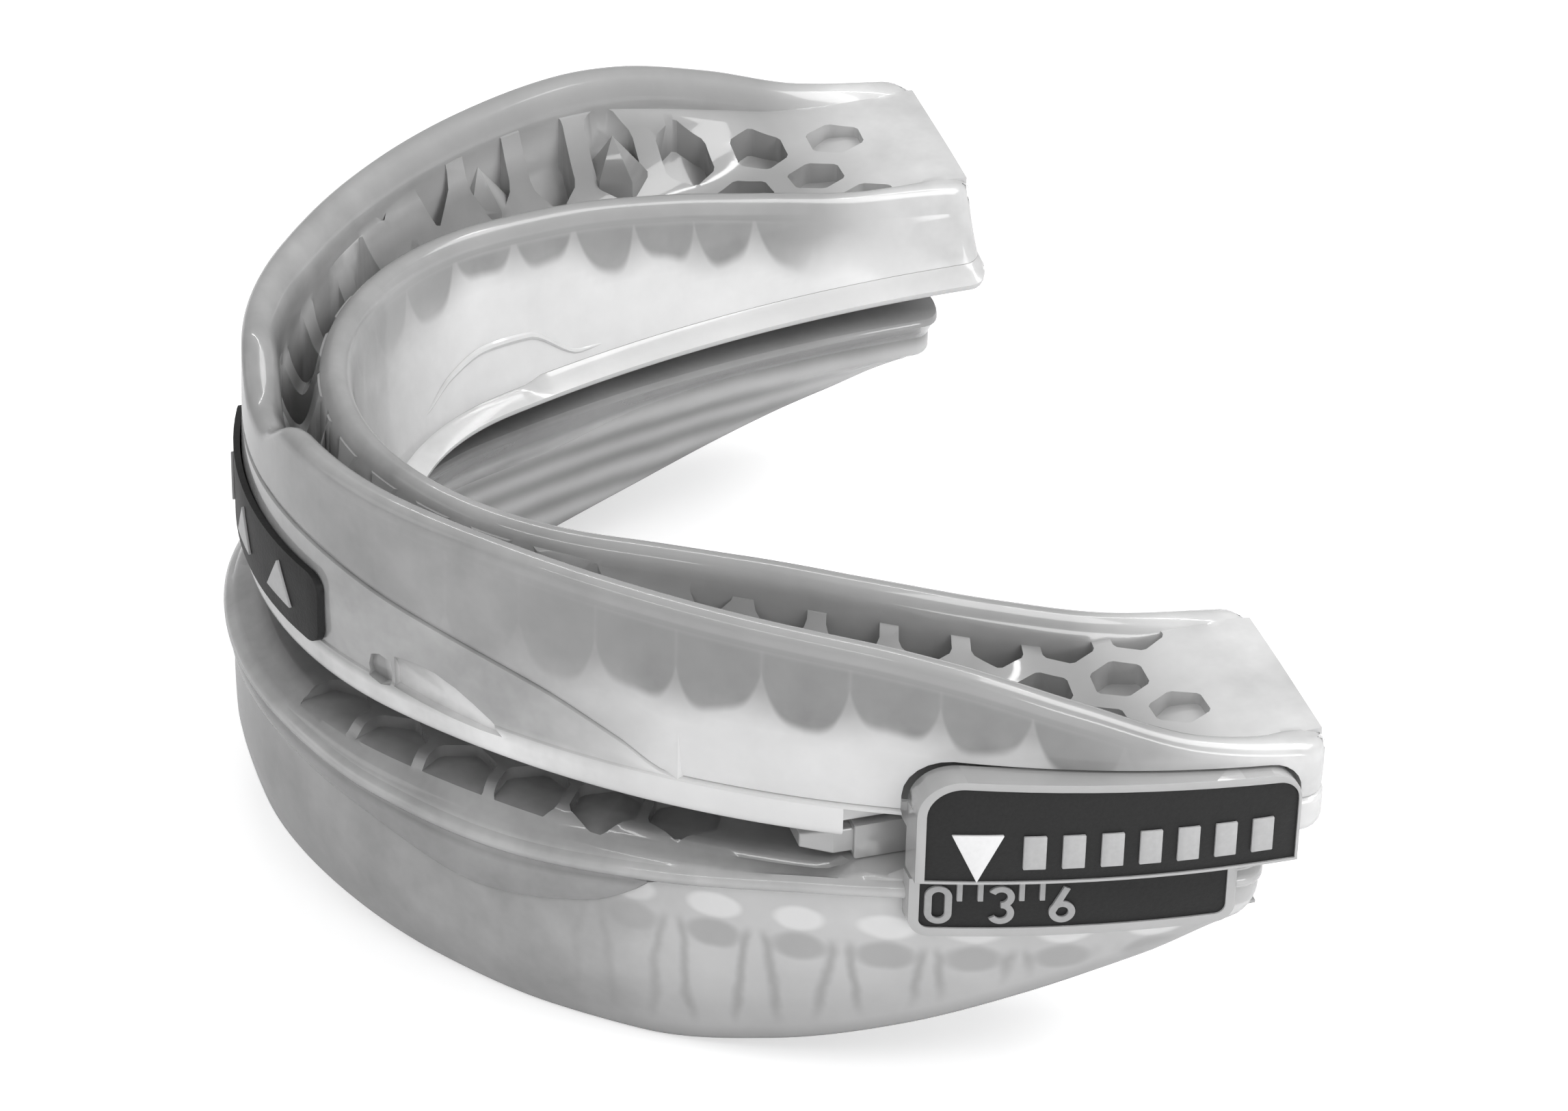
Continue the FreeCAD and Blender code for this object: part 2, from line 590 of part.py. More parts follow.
def lower_liner():
    lining = arch_band("lower_lining", lower_arch("lower_inset"), lower_tongue("-liner_flare"), "-past",
                       "lower_plate_base")
    trough = arch_band("lower_trough", lower_arch("lower_inset+wall"), lower_tongue("tongue_wall"),
                       "-5*past", "lower_floor")
    tongue_side = arch_band("lower_tongue_side", lower_tongue("tongue_wall+tongue_overlap"),
                            lower_tongue("-6*past"), "-5*past", "lower_plate_base+past")
    low_tongue_side = overlap(tongue_side, gap_below_rim("upper_tongue_drop"))
    return cut(lining, trough, gap_below_rim("0"), low_tongue_side, both_sides(scale_pocket()))


def scale_holder():
    holder = overlap(scale_shell("scale_thickness", "0"), scale_profile("0", "scale_round"))
    bed = overlap(scale_shell("inlay_depth", "-past"), scale_profile("scale_rim", "scale_round/2"))
    return cut(holder, bed)


def scale_plate():
    return overlap(scale_shell("inlay_depth", "inlay_sunk"), scale_profile("scale_rim", "scale_round/2"))


def thick_line(start, end):
    """A straight pen stroke in the plane of the digits, as a face."""
    half = number("stroke") / 2
    along = (end - start).normalize()
    side = FreeCAD.Vector(-along.y, along.x, 0) * half
    corners = [start + side, end + side, end - side, start - side]
    return Part.Face(Part.makePolygon(corners + corners[:1]))


def thick_arc(centre, radius, start, end):
    """A curved pen stroke as a face; start and end are in degrees, anticlockwise."""
    half = number("stroke") / 2
    up = FreeCAD.Vector(0, 0, 1)
    if end - start >= 360:
        rings = [Part.Wire(Part.makeCircle(radius + way * half, centre, up)) for way in (1, -1)]
        disc, hole = [Part.Face(ring) for ring in rings]
        return disc.cut(hole).Faces[0]
    outer = Part.makeCircle(radius + half, centre, up, start, end)
    inner = Part.makeCircle(radius - half, centre, up, start, end)
    first = Part.makeLine(inner.Vertexes[0].Point, outer.Vertexes[0].Point)
    last = Part.makeLine(inner.Vertexes[1].Point, outer.Vertexes[1].Point)
    return Part.Face(Part.Wire(Part.__sortEdges__([outer, last, inner, first])))


def digit_strokes(digit):
    """The pen strokes of a digit, about its own middle, in millimetres."""
    half_width = (number("digit_width") - number("stroke")) / 2
    half_height = (number("digit_top") - number("digit_base") - number("stroke")) / 2
    straight = half_height - half_width
    if digit == 0:
        return [
            thick_arc(FreeCAD.Vector(0, straight, 0), half_width, 0, 180),
            thick_arc(FreeCAD.Vector(0, -straight, 0), half_width, 180, 360),
            thick_line(FreeCAD.Vector(half_width, -straight, 0), FreeCAD.Vector(half_width, straight, 0)),
            thick_line(FreeCAD.Vector(-half_width, -straight, 0), FreeCAD.Vector(-half_width, straight, 0)),
        ]
    if digit == 3:
        bowl = half_height / 2
        return [
            thick_arc(FreeCAD.Vector(0, bowl, 0), bowl, -90, 150),
            thick_arc(FreeCAD.Vector(0, -bowl, 0), bowl, -150, 90),
        ]
    return [
        thick_arc(FreeCAD.Vector(0, -straight, 0), half_width, 0, 360),
        thick_line(FreeCAD.Vector(-half_width * 0.99, half_width * 0.1 - straight, 0),
                   FreeCAD.Vector(half_width * 0.45, half_height, 0)),
    ]


def digit_prism(digit, y, side):
    """A digit as a bar along X through the scale's wall, readable from outside on either side."""
    faces = digit_strokes(digit)
    flat = faces[0].multiFuse(faces[1:]) if len(faces) > 1 else faces[0]
    bar = flat.extrude(FreeCAD.Vector(0, 0, number("rail_inner")))
    middle = (number("digit_base") + number("digit_top")) / 2
    turn = FreeCAD.Rotation(FreeCAD.Vector(0, side, 0), FreeCAD.Vector(0, 0, 1), FreeCAD.Vector(side, 0, 0),
                            "XYZ")
    feature = doc.addObject("Part::Feature", "digit")
    feature.Shape = bar
    feature.Placement = FreeCAD.Placement(FreeCAD.Vector(side * number("rail_inner"), y, middle), turn)
    return feature


def scale_marks(side):
    """The raised numerals 0, 3 and 6 with a millimetre tick between them."""
    zero = number("scale_zero_y")
    bars = [digit_prism(digit, zero + digit, side) for digit in (0, 3, 6)]
    ticks = joined(*[
        block("rail_inner", "rail_inner+3*run_out", f"scale_zero_y+{place}-tick_width/2",
              f"scale_zero_y+{place}+tick_width/2", "tick_base", "tick_top")
        for place in (1, 2, 4, 5)
    ])
    skin = scale_shell("inlay_sunk", "inlay_sunk-mark_height")
    if side < 0:
        ticks = mirrored(ticks)
        skin = mirrored(skin)
    return overlap(skin, joined(ticks, *bars))


# Squeeze tabs -------------------------------------------------------------------------------------

PAWL_FACE = "head_middle-head_half-pawl_gap"


def squeeze_tab():
    plate = overlap(tab_shell("tab_thickness", "0"), tab_profile("0", "tab_front_round", "tab_back_round"))
    bed = overlap(tab_shell("inlay_depth", "-past"),
                  tab_profile("-tab_rim", "tab_front_round-tab_rim", "tab_back_round-tab_rim", "-tab_lip"))
    arms = [
        block(PAWL_FACE, "rail_inner+1.5*run_out", front, f"{front}+arm_width", "arm_base", "arm_top")
        for front in ("arm_front_y", "arm_front_y+arm_pitch")
    ]
    inside = tab_shell("tab_radius-past", "tab_thickness-arm_root")
    return joined(cut(plate, bed), overlap(joined(*arms), inside))


def pawl():
    """The springy toothed bar on the tab's arms that grips the rail's rack from the tongue side."""
    bar = block(f"{PAWL_FACE}-pawl_wall", PAWL_FACE, "pawl_front_y", "pawl_back_y", "head_base", "arm_top")
    teeth = rack_teeth("pawl_teeth", PAWL_FACE, "pawl_teeth_y", "pawl_teeth", "head_base", "head_top")
    return joined(bar, teeth)


def tab_inlay():
    return overlap(tab_shell("inlay_depth", "inlay_sunk"),
                   tab_profile("-tab_rim", "tab_front_round-tab_rim", "tab_back_round-tab_rim", "-tab_lip"))


def tab_skin():
    return tab_shell("inlay_sunk", "inlay_sunk-mark_height")


def tab_arrow():
    pointer = prism("arrow", "YZ_Plane", [
        ("arrow_tip_y", "arrow_base", None),
        ("arrow_tip_y+arrow_half", "arrow_top", None),
        ("arrow_tip_y-arrow_half", "arrow_top", None),
    ])
    return overlap(tab_skin(), block("rail_inner", "rail_inner+3*run_out", "tab_front_y", "tab_back_y",
                                     "tab_base", "tab_front_top"), pointer)


def tab_grip():
    """Seven raised bars that the fingertip holds by."""
    bars = [
        block("rail_inner", "rail_inner+3*run_out", f"grip_front_y+{place}*grip_pitch",
              f"grip_front_y+{place}*grip_pitch+grip_width", "grip_base", "grip_top")
        for place in range(7)
    ]
    return overlap(tab_skin(), joined(*bars))


skirt = upper_skirt()
finish(upper_frame(skirt), "upper_frame")
finish(upper_liner(skirt), "upper_liner")
finish(front_tag(), "front_tag")
finish(tag_mark(), "tag_mark")
finish_pair(tab_spring(), "tab_spring")
finish_pair(slide_rail(), "slide_rail")
finish(lower_frame(), "lower_frame")
finish(lower_liner(), "lower_liner")
finish_pair(scale_holder(), "scale_holder")
finish_pair(scale_plate(), "scale_plate")
finish(scale_marks(1), "scale_marks_left")
finish(scale_marks(-1), "scale_marks_right")
finish_pair(squeeze_tab(), "squeeze_tab")
finish_pair(pawl(), "pawl")
finish_pair(tab_inlay(), "tab_inlay")
finish_pair(tab_arrow(), "tab_arrow")
finish_pair(tab_grip(), "tab_grip")
doc.recompute()

failed = [thing.Name for thing in doc.Objects if "Invalid" in thing.State or "Error" in thing.State]
if failed:
    raise RuntimeError("these did not recompute: " + ", ".join(failed))
for piece in parts_to_write:
    if piece.Shape.isNull() or not piece.Shape.isValid() or not piece.Shape.Solids:
        raise RuntimeError(piece.Label + " has no valid solid")

os.makedirs("parts", exist_ok=True)
for piece in parts_to_write:
    piece.Shape.exportStep(f"parts/{piece.Label}.step")
    print(piece.Label, len(piece.Shape.Solids), round(piece.Shape.Volume, 2))
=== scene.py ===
import math

import bmesh
import bpy
import numpy as np
from mathutils import Matrix, Vector


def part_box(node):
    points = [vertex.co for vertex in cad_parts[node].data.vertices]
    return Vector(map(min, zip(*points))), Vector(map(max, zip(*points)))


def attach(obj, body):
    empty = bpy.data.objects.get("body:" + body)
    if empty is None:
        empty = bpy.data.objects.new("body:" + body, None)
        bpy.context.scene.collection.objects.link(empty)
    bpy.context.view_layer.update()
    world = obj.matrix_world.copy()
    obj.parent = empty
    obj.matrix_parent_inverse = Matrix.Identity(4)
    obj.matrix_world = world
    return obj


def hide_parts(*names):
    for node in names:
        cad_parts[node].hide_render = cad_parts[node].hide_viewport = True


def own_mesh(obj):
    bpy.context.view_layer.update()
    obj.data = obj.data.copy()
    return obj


# Adjustable two-tray mouthguard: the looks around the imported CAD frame. Sizes below are
# millimetres in the row frame (+X wearer's left, -Y front teeth, +Z up); meshes are in metres.

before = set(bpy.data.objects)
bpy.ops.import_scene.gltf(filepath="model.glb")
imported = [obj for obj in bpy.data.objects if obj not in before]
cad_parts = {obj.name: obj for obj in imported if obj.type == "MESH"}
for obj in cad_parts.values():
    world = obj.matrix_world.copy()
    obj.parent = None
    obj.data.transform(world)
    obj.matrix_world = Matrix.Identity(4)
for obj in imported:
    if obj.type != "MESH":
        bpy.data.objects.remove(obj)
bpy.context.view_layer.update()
MM = 0.001


# Arches -------------------------------------------------------------------------------------------

class Arch:
    """A front arc that runs on into two side arcs, walked from the middle of the front."""

    def __init__(self, front, radius, angle, reach, back):
        self.front, self.radius, self.angle = front, radius, math.radians(angle)
        x1 = radius * math.sin(self.angle)
        y1 = front + radius * (1 - math.cos(self.angle))
        chord = math.atan2(back - y1, reach - x1)
        self.side_radius = math.hypot(reach - x1, back - y1) / (2 * math.sin(chord - self.angle))
        self.front_length = radius * self.angle
        self.length = self.front_length + self.side_radius * 2 * (chord - self.angle)
        self.centre_x = x1 - self.side_radius * math.sin(self.angle)
        self.centre_y = y1 + self.side_radius * math.cos(self.angle)

    def at(self, distance):
        """(point, outward normal) at a signed distance along the arch."""
        side = -1.0 if distance < 0 else 1.0
        walked = abs(distance)
        if walked <= self.front_length:
            heading = walked / self.radius
            x = self.radius * math.sin(heading)
            y = self.front + self.radius * (1 - math.cos(heading))
        else:
            heading = self.angle + (walked - self.front_length) / self.side_radius
            x = self.centre_x + self.side_radius * math.sin(heading)
            y = self.centre_y - self.side_radius * math.cos(heading)
        return (side * x, y), (side * math.sin(heading), -math.cos(heading))

    def measure(self, x, y):
        """(signed distance along, depth inwards) of plan points given as arrays."""
        side = np.where(x < 0, -1.0, 1.0)
        across = np.abs(x)
        turn = np.arctan2(across, self.front + self.radius - y)
        reach = np.hypot(across, self.front + self.radius - y)
        side_turn = np.arctan2(across - self.centre_x, self.centre_y - y)
        side_reach = np.hypot(across - self.centre_x, self.centre_y - y)
        in_front = turn <= self.angle
        along = np.where(in_front, self.radius * turn,
                         self.front_length + self.side_radius * (side_turn - self.angle))
        depth = np.where(in_front, self.radius - reach, self.side_radius - side_reach)
        return side * along, depth


OUTER = Arch(-22.8, 23.0, 35.5, 35.15, 24.0)
TONGUE = Arch(-16.9, 16.3, 67.5, 21.5, 24.0)
LOWER_OUTER = Arch(-24.0, 22.7, 35.5, 34.85, 21.2)
LOWER_TONGUE = Arch(-18.6, 16.3, 67.5, 21.5, 21.2)
LATTICE = Arch(-19.75, 19.4, 50.0, 25.6, 24.0)


def smooth(t):
    t = min(1.0, max(0.0, t))
    return t * t * (3 - 2 * t)


def curve(knots):
    """A smooth function through (where, value) knots, level beyond the first and last."""
    xs = [k[0] for k in knots]
    ys = [k[1] for k in knots]
    slopes = [0.0]
    for i in range(1, len(xs) - 1):
        before = (ys[i] - ys[i - 1]) / (xs[i] - xs[i - 1])
        after = (ys[i + 1] - ys[i]) / (xs[i + 1] - xs[i])
        slopes.append(0.0 if before * after <= 0 else 2 * before * after / (before + after))
    slopes.append(0.0)

    def value(x):
        if x <= xs[0]:
            return ys[0]
        if x >= xs[-1]:
            return ys[-1]
        i = max(j for j in range(len(xs) - 1) if xs[j] <= x)
        h = xs[i + 1] - xs[i]
        t = (x - xs[i]) / h
        return (ys[i] * (1 + 2 * t) * (1 - t) ** 2 + slopes[i] * h * t * (1 - t) ** 2
                + ys[i + 1] * t * t * (3 - 2 * t) - slopes[i + 1] * h * t * t * (1 - t))
    return value


# Profiles along the arch, each by the Y of its own wall -------------------------------------------

rim_line = curve([(-22.8, 27.6), (-16, 27.6), (-10.8, 27.4), (-4, 26.9), (1.2, 26.35), (5.2, 25.5),
                  (11.2, 23.4), (17.2, 21.1), (21.2, 20.4), (24, 20.15)])
tongue_rim_line = curve([(-16.9, 25.8), (-8, 25.5), (-1, 24.7), (5.2, 23.4), (11.2, 21.9),
                         (17.2, 20.6), (21.5, 20.2), (24, 20.0)])
rib_tip_line = curve([(-22.8, 24.2), (-18.8, 24.8), (-17.4, 25.0), (-15.4, 25.3), (-10.6, 25.6),
                      (-4.2, 25.4), (2.2, 24.5), (6.4, 23.2), (11.2, 21.6), (15.9, 20.3),
                      (19.5, 20.0), (22.2, 20.05), (24, 20.1)])
rib_middle_line = curve([(-22.8, 22.4), (-16, 22.0), (-10, 20.9), (-5, 19.4), (-1, 19.2),
                         (8, 19.1), (12, 19.3), (16, 19.6), (19.5, 19.9), (22, 20.05), (24, 20.1)])
floor_wall_line = curve([(-22.8, 18.5), (-17, 20.8), (-12, 21.6), (-4, 21.7), (4, 21.4), (8, 20.6),
                         (12, 19.4), (16, 18.9), (19, 19.2), (21, 19.6), (22, 19.9), (24, 20.0)])
floor_middle_line = curve([(-22.8, 16.5), (-6, 16.4), (-2, 17.85), (12, 17.9), (16, 18.3),
                           (19, 19.2), (21, 19.6), (22, 19.9), (24, 20.0)])
plate_top_line = curve([(-22.8, 16.1), (-5, 16.1), (-2.6, 17.7), (24, 17.7)])
skirt_line = curve([(-22.8, 22.8), (-18.5, 21.9), (-12.95, 20.4), (-9.6, 18.7), (-7.2, 17.25),
                    (24, 17.25)])
bead_line = curve([(-24, 11.3), (-20, 10.6), (-15.7, 10.3), (-8.4, 11.1), (-0.9, 12.1), (6, 12.4),
                   (21.2, 12.4)])
lower_skirt_line = curve([(-24, 9.6), (-20.9, 8.9), (-15.7, 7.2), (-11, 8.4), (-8.8, 10.0),
                          (-7.6, 11.3), (-3, 12.0), (21.2, 12.2)])
lower_rim_line = curve([(-24, 1.6), (-18, 0.5), (-13, 0.04), (-9, 0.04), (-3, 1.1), (3.2, 2.95),
                        (9, 5.1), (15.2, 7.4), (21.2, 9.4)])
lower_tongue_rim_line = curve([(-18.6, 2.4), (-9, 2.2), (-3, 3.3), (3.2, 4.7), (9, 6.3),
                               (15.2, 8.0), (21.2, 9.5)])
tongue_lip_line = curve([(-17, 17.0), (-12.4, 17.2), (-9.6, 18.3), (-7.1, 18.85), (-4.4, 18.65),
                         (-1.4, 16.9), (24, 16.6)])
PLATE_FLARE = 3.2
LINER_FLARE = 1.9
WALL = 2.2
TONGUE_WALL = 1.8
END_ROUND = 1.5


def stations(outer):
    """Shares of the half arch from one end to the other, closer together at the rounded ends."""
    inner_count = 92
    rounding = [END_ROUND * (1 - math.sin(math.radians(a))) for a in (90, 75, 60, 45, 30, 15, 0)]
    ends = [1 - gap / outer.length for gap in rounding]
    last = ends[-1]
    half = [last * i / inner_count for i in range(inner_count + 1)] + list(reversed(ends[:-1]))
    return [-s for s in reversed(half[1:])] + half


class Section:
    """One cross-section: points measured from the outer wall, from the tongue wall, or between."""

    def __init__(self, share, outer, tongue):
        (self.ox, self.oy), (self.onx, self.ony) = outer.at(share * outer.length)
        (self.tx, self.ty), (self.tnx, self.tny) = tongue.at(share * tongue.length)
        to_end = (1 - abs(share)) * outer.length
        bend = min(1.0, max(0.0, 1 - to_end / END_ROUND))
        self.inset = END_ROUND * (1 - math.sqrt(1 - bend * bend)) if bend < 1 else END_ROUND

    def outer(self, depth, z):
        depth += self.inset
        return (self.ox - self.onx * depth, self.oy - self.ony * depth, z)

    def tongue(self, depth, z):
        depth += self.inset
        return (self.tx + self.tnx * depth, self.ty + self.tny * depth, z)

    def between(self, t, z):
        a = (self.ox - self.onx * WALL, self.oy - self.ony * WALL)
        b = (self.tx + self.tnx * TONGUE_WALL, self.ty + self.tny * TONGUE_WALL)
        return (a[0] + (b[0] - a[0]) * t, a[1] + (b[1] - a[1]) * t, z)


def spread(start, end, count):
    """count values from start to just short of end."""
    return [start + (end - start) * i / count for i in range(count)]


def bowl(t, at_outer, at_middle, at_tongue, power=2.4):
    """A concave dish across the trough, t from 0 at the outer wall to 1 at the tongue wall."""
    t = min(1, max(0, t))
    return (at_middle + (at_outer - at_middle) * max(0.0, 1 - 2 * t) ** power
            + (at_tongue - at_middle) * max(0.0, 2 * t - 1) ** power)


def notch_drop(x):
    """How far the lip notch in the middle of the front lowers the rim."""
    return 2.0 * smooth(1.25 - abs(x) / 4.2)


def upper_levels(sec):
    rim = rim_line(sec.oy) - notch_drop(sec.ox)
    tongue_rim = tongue_rim_line(sec.ty)
    tip = min(rib_tip_line(sec.oy), rim - 0.02)
    floor_wall = min(floor_wall_line(sec.oy), rim - 0.1)
    middle_y = (sec.oy + sec.ty) / 2
    middle = rib_middle_line(middle_y)
    floor_middle = floor_middle_line(middle_y)
    below = 1.7 - 0.95 * smooth((-3.0 - sec.ty) / 7)
    tongue_tip = min(tongue_rim - 0.02,
                     max(tongue_rim - below, middle + 0.2 * (tongue_rim - middle)))
    floor_tongue = min(tongue_rim - 0.1, max(tongue_rim - 4.4, floor_middle + 0.1))
    return rim, tongue_rim, tip, middle, tongue_tip, floor_wall, floor_middle, floor_tongue


def trough_ring(sec):
    """Closed outline of the upper lining without its ribs."""
    rim, tongue_rim, _, _, _, floor_wall, floor_middle, floor_tongue = upper_levels(sec)
    skirt = skirt_line(sec.oy)
    plate = plate_top_line(sec.ty)
    drop = 0.35 * sec.inset
    ring = [sec.outer(1.25, plate + 0.02)]
    ring += [sec.outer(1.25, z) for z in spread(plate + 0.1, skirt - 0.12, 3)]
    ring += [sec.outer(1.25, skirt - 0.06), sec.outer(0.27, skirt - 0.02)]
    bottom, top = skirt, rim - 0.85
    for i in range(1, 15):
        z = bottom + (top - bottom) * i / 14
        share = max(0.0, (z - 17.3) / (rim - 17.3))
        ring.append(sec.outer(0.27 - 0.12 * math.sin(math.pi * share), z))
    for depth, fall in ((0.25, 0.5), (0.38, 0.24), (0.62, 0.06), (0.95, 0.0)):
        ring.append(sec.outer(depth, rim - fall - drop))
    slack = min(1.0, (rim - floor_wall) / 2.4)
    for depth, fall in ((1.3, 0.12), (1.62, 0.38), (1.86, 0.75), (2.04, 1.15), (2.14, 1.5)):
        ring.append(sec.outer(depth - sec.inset, rim - fall * slack - drop))
    low = rim - 1.9 * slack
    ring += [sec.between(0.0, z - drop * 0.5) for z in spread(low, floor_wall, 8)]
    for i in range(17):
        t = i / 16
        ring.append(sec.between(t, bowl(t, floor_wall, floor_middle, floor_tongue) - drop * 0.5))
    slack = min(1.0, (tongue_rim - floor_tongue) / 2.2)
    high = tongue_rim - 1.5 * slack
    ring += [sec.between(1.0, z - drop * 0.5) for z in spread(floor_tongue, high, 6)[1:]]
    for depth, fall in ((1.76, 1.1), (1.6, 0.62), (1.35, 0.26), (1.05, 0.05)):
        ring.append(sec.tongue(depth - sec.inset, tongue_rim - fall * slack - drop))
    for depth, fall in ((0.72, 0.0), (0.42, 0.1), (0.18, 0.36), (0.05, 0.75)):
        ring.append(sec.tongue(depth, tongue_rim - fall - drop))
    top = tongue_rim - 1.1
    seam = min(16.4, plate) + 0.02
    for i in range(15):
        z = top + (seam - top) * i / 14
        share = (tongue_rim - z) / (tongue_rim - 16.4)
        ring.append(sec.tongue(-LINER_FLARE * min(1.0, share) ** 1.7 - 0.03 * i / 14, z))
    ring += [sec.tongue(-0.6, seam), sec.tongue(-0.55, plate + 0.02)]
    ring += [sec.between(t, plate + 0.02) for t in (0.9, 0.5, 0.15)]
    return ring


def rib_places(sec, count):
    """Places across the trough for a solid of ribs, from a little inside one wall to the other."""
    reach = 0.3 / max(2.0, math.hypot(sec.ox - sec.tx, sec.oy - sec.ty) - WALL - TONGUE_WALL)
    return [-reach + (1 + 2 * reach) * i / count for i in range(count + 1)]


def rib_ring(sec):
    """Closed outline of the solid that the upper honeycomb is cut from."""
    _, _, tip, middle, tongue_tip, floor_wall, floor_middle, floor_tongue = upper_levels(sec)
    across = rib_places(sec, 20)
    ring = [sec.between(t, bowl(t, tip, middle, tongue_tip, 1.8)) for t in across]
    return ring + [sec.between(t, bowl(t, floor_wall, floor_middle, floor_tongue) - 0.3)
                   for t in across[::-2]]


def upper_shell_ring(sec):
    """Closed outline of the hard upper frame: plate, flange band and skirt."""
    skirt = skirt_line(sec.oy)
    plate = plate_top_line(sec.ty)
    lift = 0.3 * sec.inset
    ring = [sec.outer(0.4, 15.3 + lift), sec.outer(0.14, 15.36 + lift),
            sec.outer(0.03, 15.55 + lift), sec.outer(0.0, 15.8 + lift), sec.outer(0.0, 16.4),
            sec.outer(0.0, 16.85), sec.outer(0.04, 17.0), sec.outer(0.14, 17.08)]
    height = max(0.0, skirt - 17.25)
    for i in range(1, 9):
        z = 17.1 + height * i / 8
        ring.append(sec.outer(0.14 - 0.08 * math.sin(math.pi * i / 8) * min(1, height), z))
    ring += [sec.outer(0.22, 17.14 + height), sec.outer(0.36, 17.18 + height),
             sec.outer(1.15, 17.19 + height)]
    low = min(plate, 17.15)
    ring += [sec.outer(1.2, z) for z in spread(17.17 + height, low, 4)[1:]]
    ring.append(sec.outer(1.3, low))
    ring.append(sec.outer(1.45, plate))
    ring += [sec.between(t, plate) for t in (0.2, 0.5, 0.8)]
    flare_top = -LINER_FLARE - 0.05
    seam = min(16.4, plate)
    ring += [sec.tongue(-0.58, plate), sec.tongue(-0.63, seam), sec.tongue(flare_top, seam)]
    for i in range(1, 6):
        z = seam + (15.75 - seam) * i / 5
        share = i / 5
        flare = flare_top - (PLATE_FLARE - LINER_FLARE - 0.05) * share ** 1.2
        ring.append(sec.tongue(flare, z + lift * share))
    ring += [sec.tongue(-PLATE_FLARE + 0.02, 15.55 + lift),
             sec.tongue(-PLATE_FLARE + 0.14, 15.38 + lift),
             sec.tongue(-PLATE_FLARE + 0.4, 15.3 + lift)]
    ring += [sec.between(t, 15.3) for t in (0.8, 0.5, 0.2)]
    return ring


def lower_shell_ring(sec):
    """Closed outline of the hard lower frame: shoulder, bead and skirt."""
    bead = bead_line(sec.oy)
    skirt = min(lower_skirt_line(sec.oy), bead - 0.45)
    lift = 0.3 * sec.inset
    shoulder = 1.9 - 1.2 * smooth((sec.oy - 1.0) / 6)
    shelf = 13.85 - 1.15 * smooth((1.5 - sec.oy) / 2.5)
    inner = min(shoulder + 2.4, math.hypot(sec.ox - sec.tx, sec.oy - sec.ty) - 1.2)
    start, end = sec.tongue(-1.0, 13.9), sec.outer(inner + 0.5, 13.9)
    ring = [tuple(a + (b - a) * t for a, b in zip(start, end)) for t in (0.0, 0.35, 0.7)]
    ring += [sec.outer(inner + 0.5, 13.9), sec.outer(inner + 0.2, shelf + 0.03)]
    ring += [sec.outer(inner + (shoulder + 0.3 - inner) * i / 5, shelf) for i in range(1, 5)]
    ring += [sec.outer(shoulder + 0.3, shelf), sec.outer(shoulder + 0.08, shelf - 0.05 - lift),
             sec.outer(shoulder - 0.12, shelf - 0.2 - lift)]
    top, bottom = shelf - 0.4, bead + 0.5
    for i in range(6):
        share = i / 5
        depth = ((shoulder - 0.3) * (1 - share) + 0.5 * share - 0.1 * math.sin(math.pi * share)
                 + 0.1 * math.sin(2 * math.pi * share))
        ring.append(sec.outer(depth, top + (bottom - top) * share))
    for angle in (60, 35, 10, -15, -40, -65):
        turn = math.radians(angle)
        ring.append(sec.outer(0.42 - 0.4 * math.cos(turn), bead + 0.42 * math.sin(turn)))
    for i in range(1, 8):
        z = (bead - 0.42) + (skirt + 0.12 - bead + 0.42) * i / 7
        ring.append(sec.outer(0.34 - 0.08 * math.sin(math.pi * i / 7), z))
    ring += [sec.outer(0.4, skirt + 0.03), sec.outer(0.52, skirt), sec.outer(1.4, skirt)]
    base = max(10.7, skirt + 0.02)
    ring += [sec.outer(1.42, z) for z in spread(skirt + 0.05, base, 3)[1:]]
    ring.append(sec.outer(1.7, base))
    ring += [sec.between(t, max(10.7, base - 0.001)) for t in (0.2, 0.5, 0.8)]
    ring.append(sec.tongue(-LINER_FLARE - 0.05, base))
    for i in range(1, 8):
        share = i / 7
        flare = -LINER_FLARE - 0.05 - (PLATE_FLARE - LINER_FLARE - 0.05) * share ** 1.2
        ring.append(sec.tongue(flare, base + (13.45 - base) * share))
    ring += [sec.tongue(-PLATE_FLARE + 0.02, 13.65), sec.tongue(-PLATE_FLARE + 0.14, 13.82),
             sec.tongue(-PLATE_FLARE + 0.4, 13.9)]
    return ring


def lower_levels(sec):
    rim = lower_rim_line(sec.oy)
    tongue_rim = lower_tongue_rim_line(sec.ty)
    roof = min(10.3, max(9.6, rim + 0.25))
    tip = min(roof - 0.05, rim + 2.4)
    tongue_tip = min(roof - 0.05, tongue_rim + 1.8)
    return rim, tongue_rim, roof, tip, tongue_tip


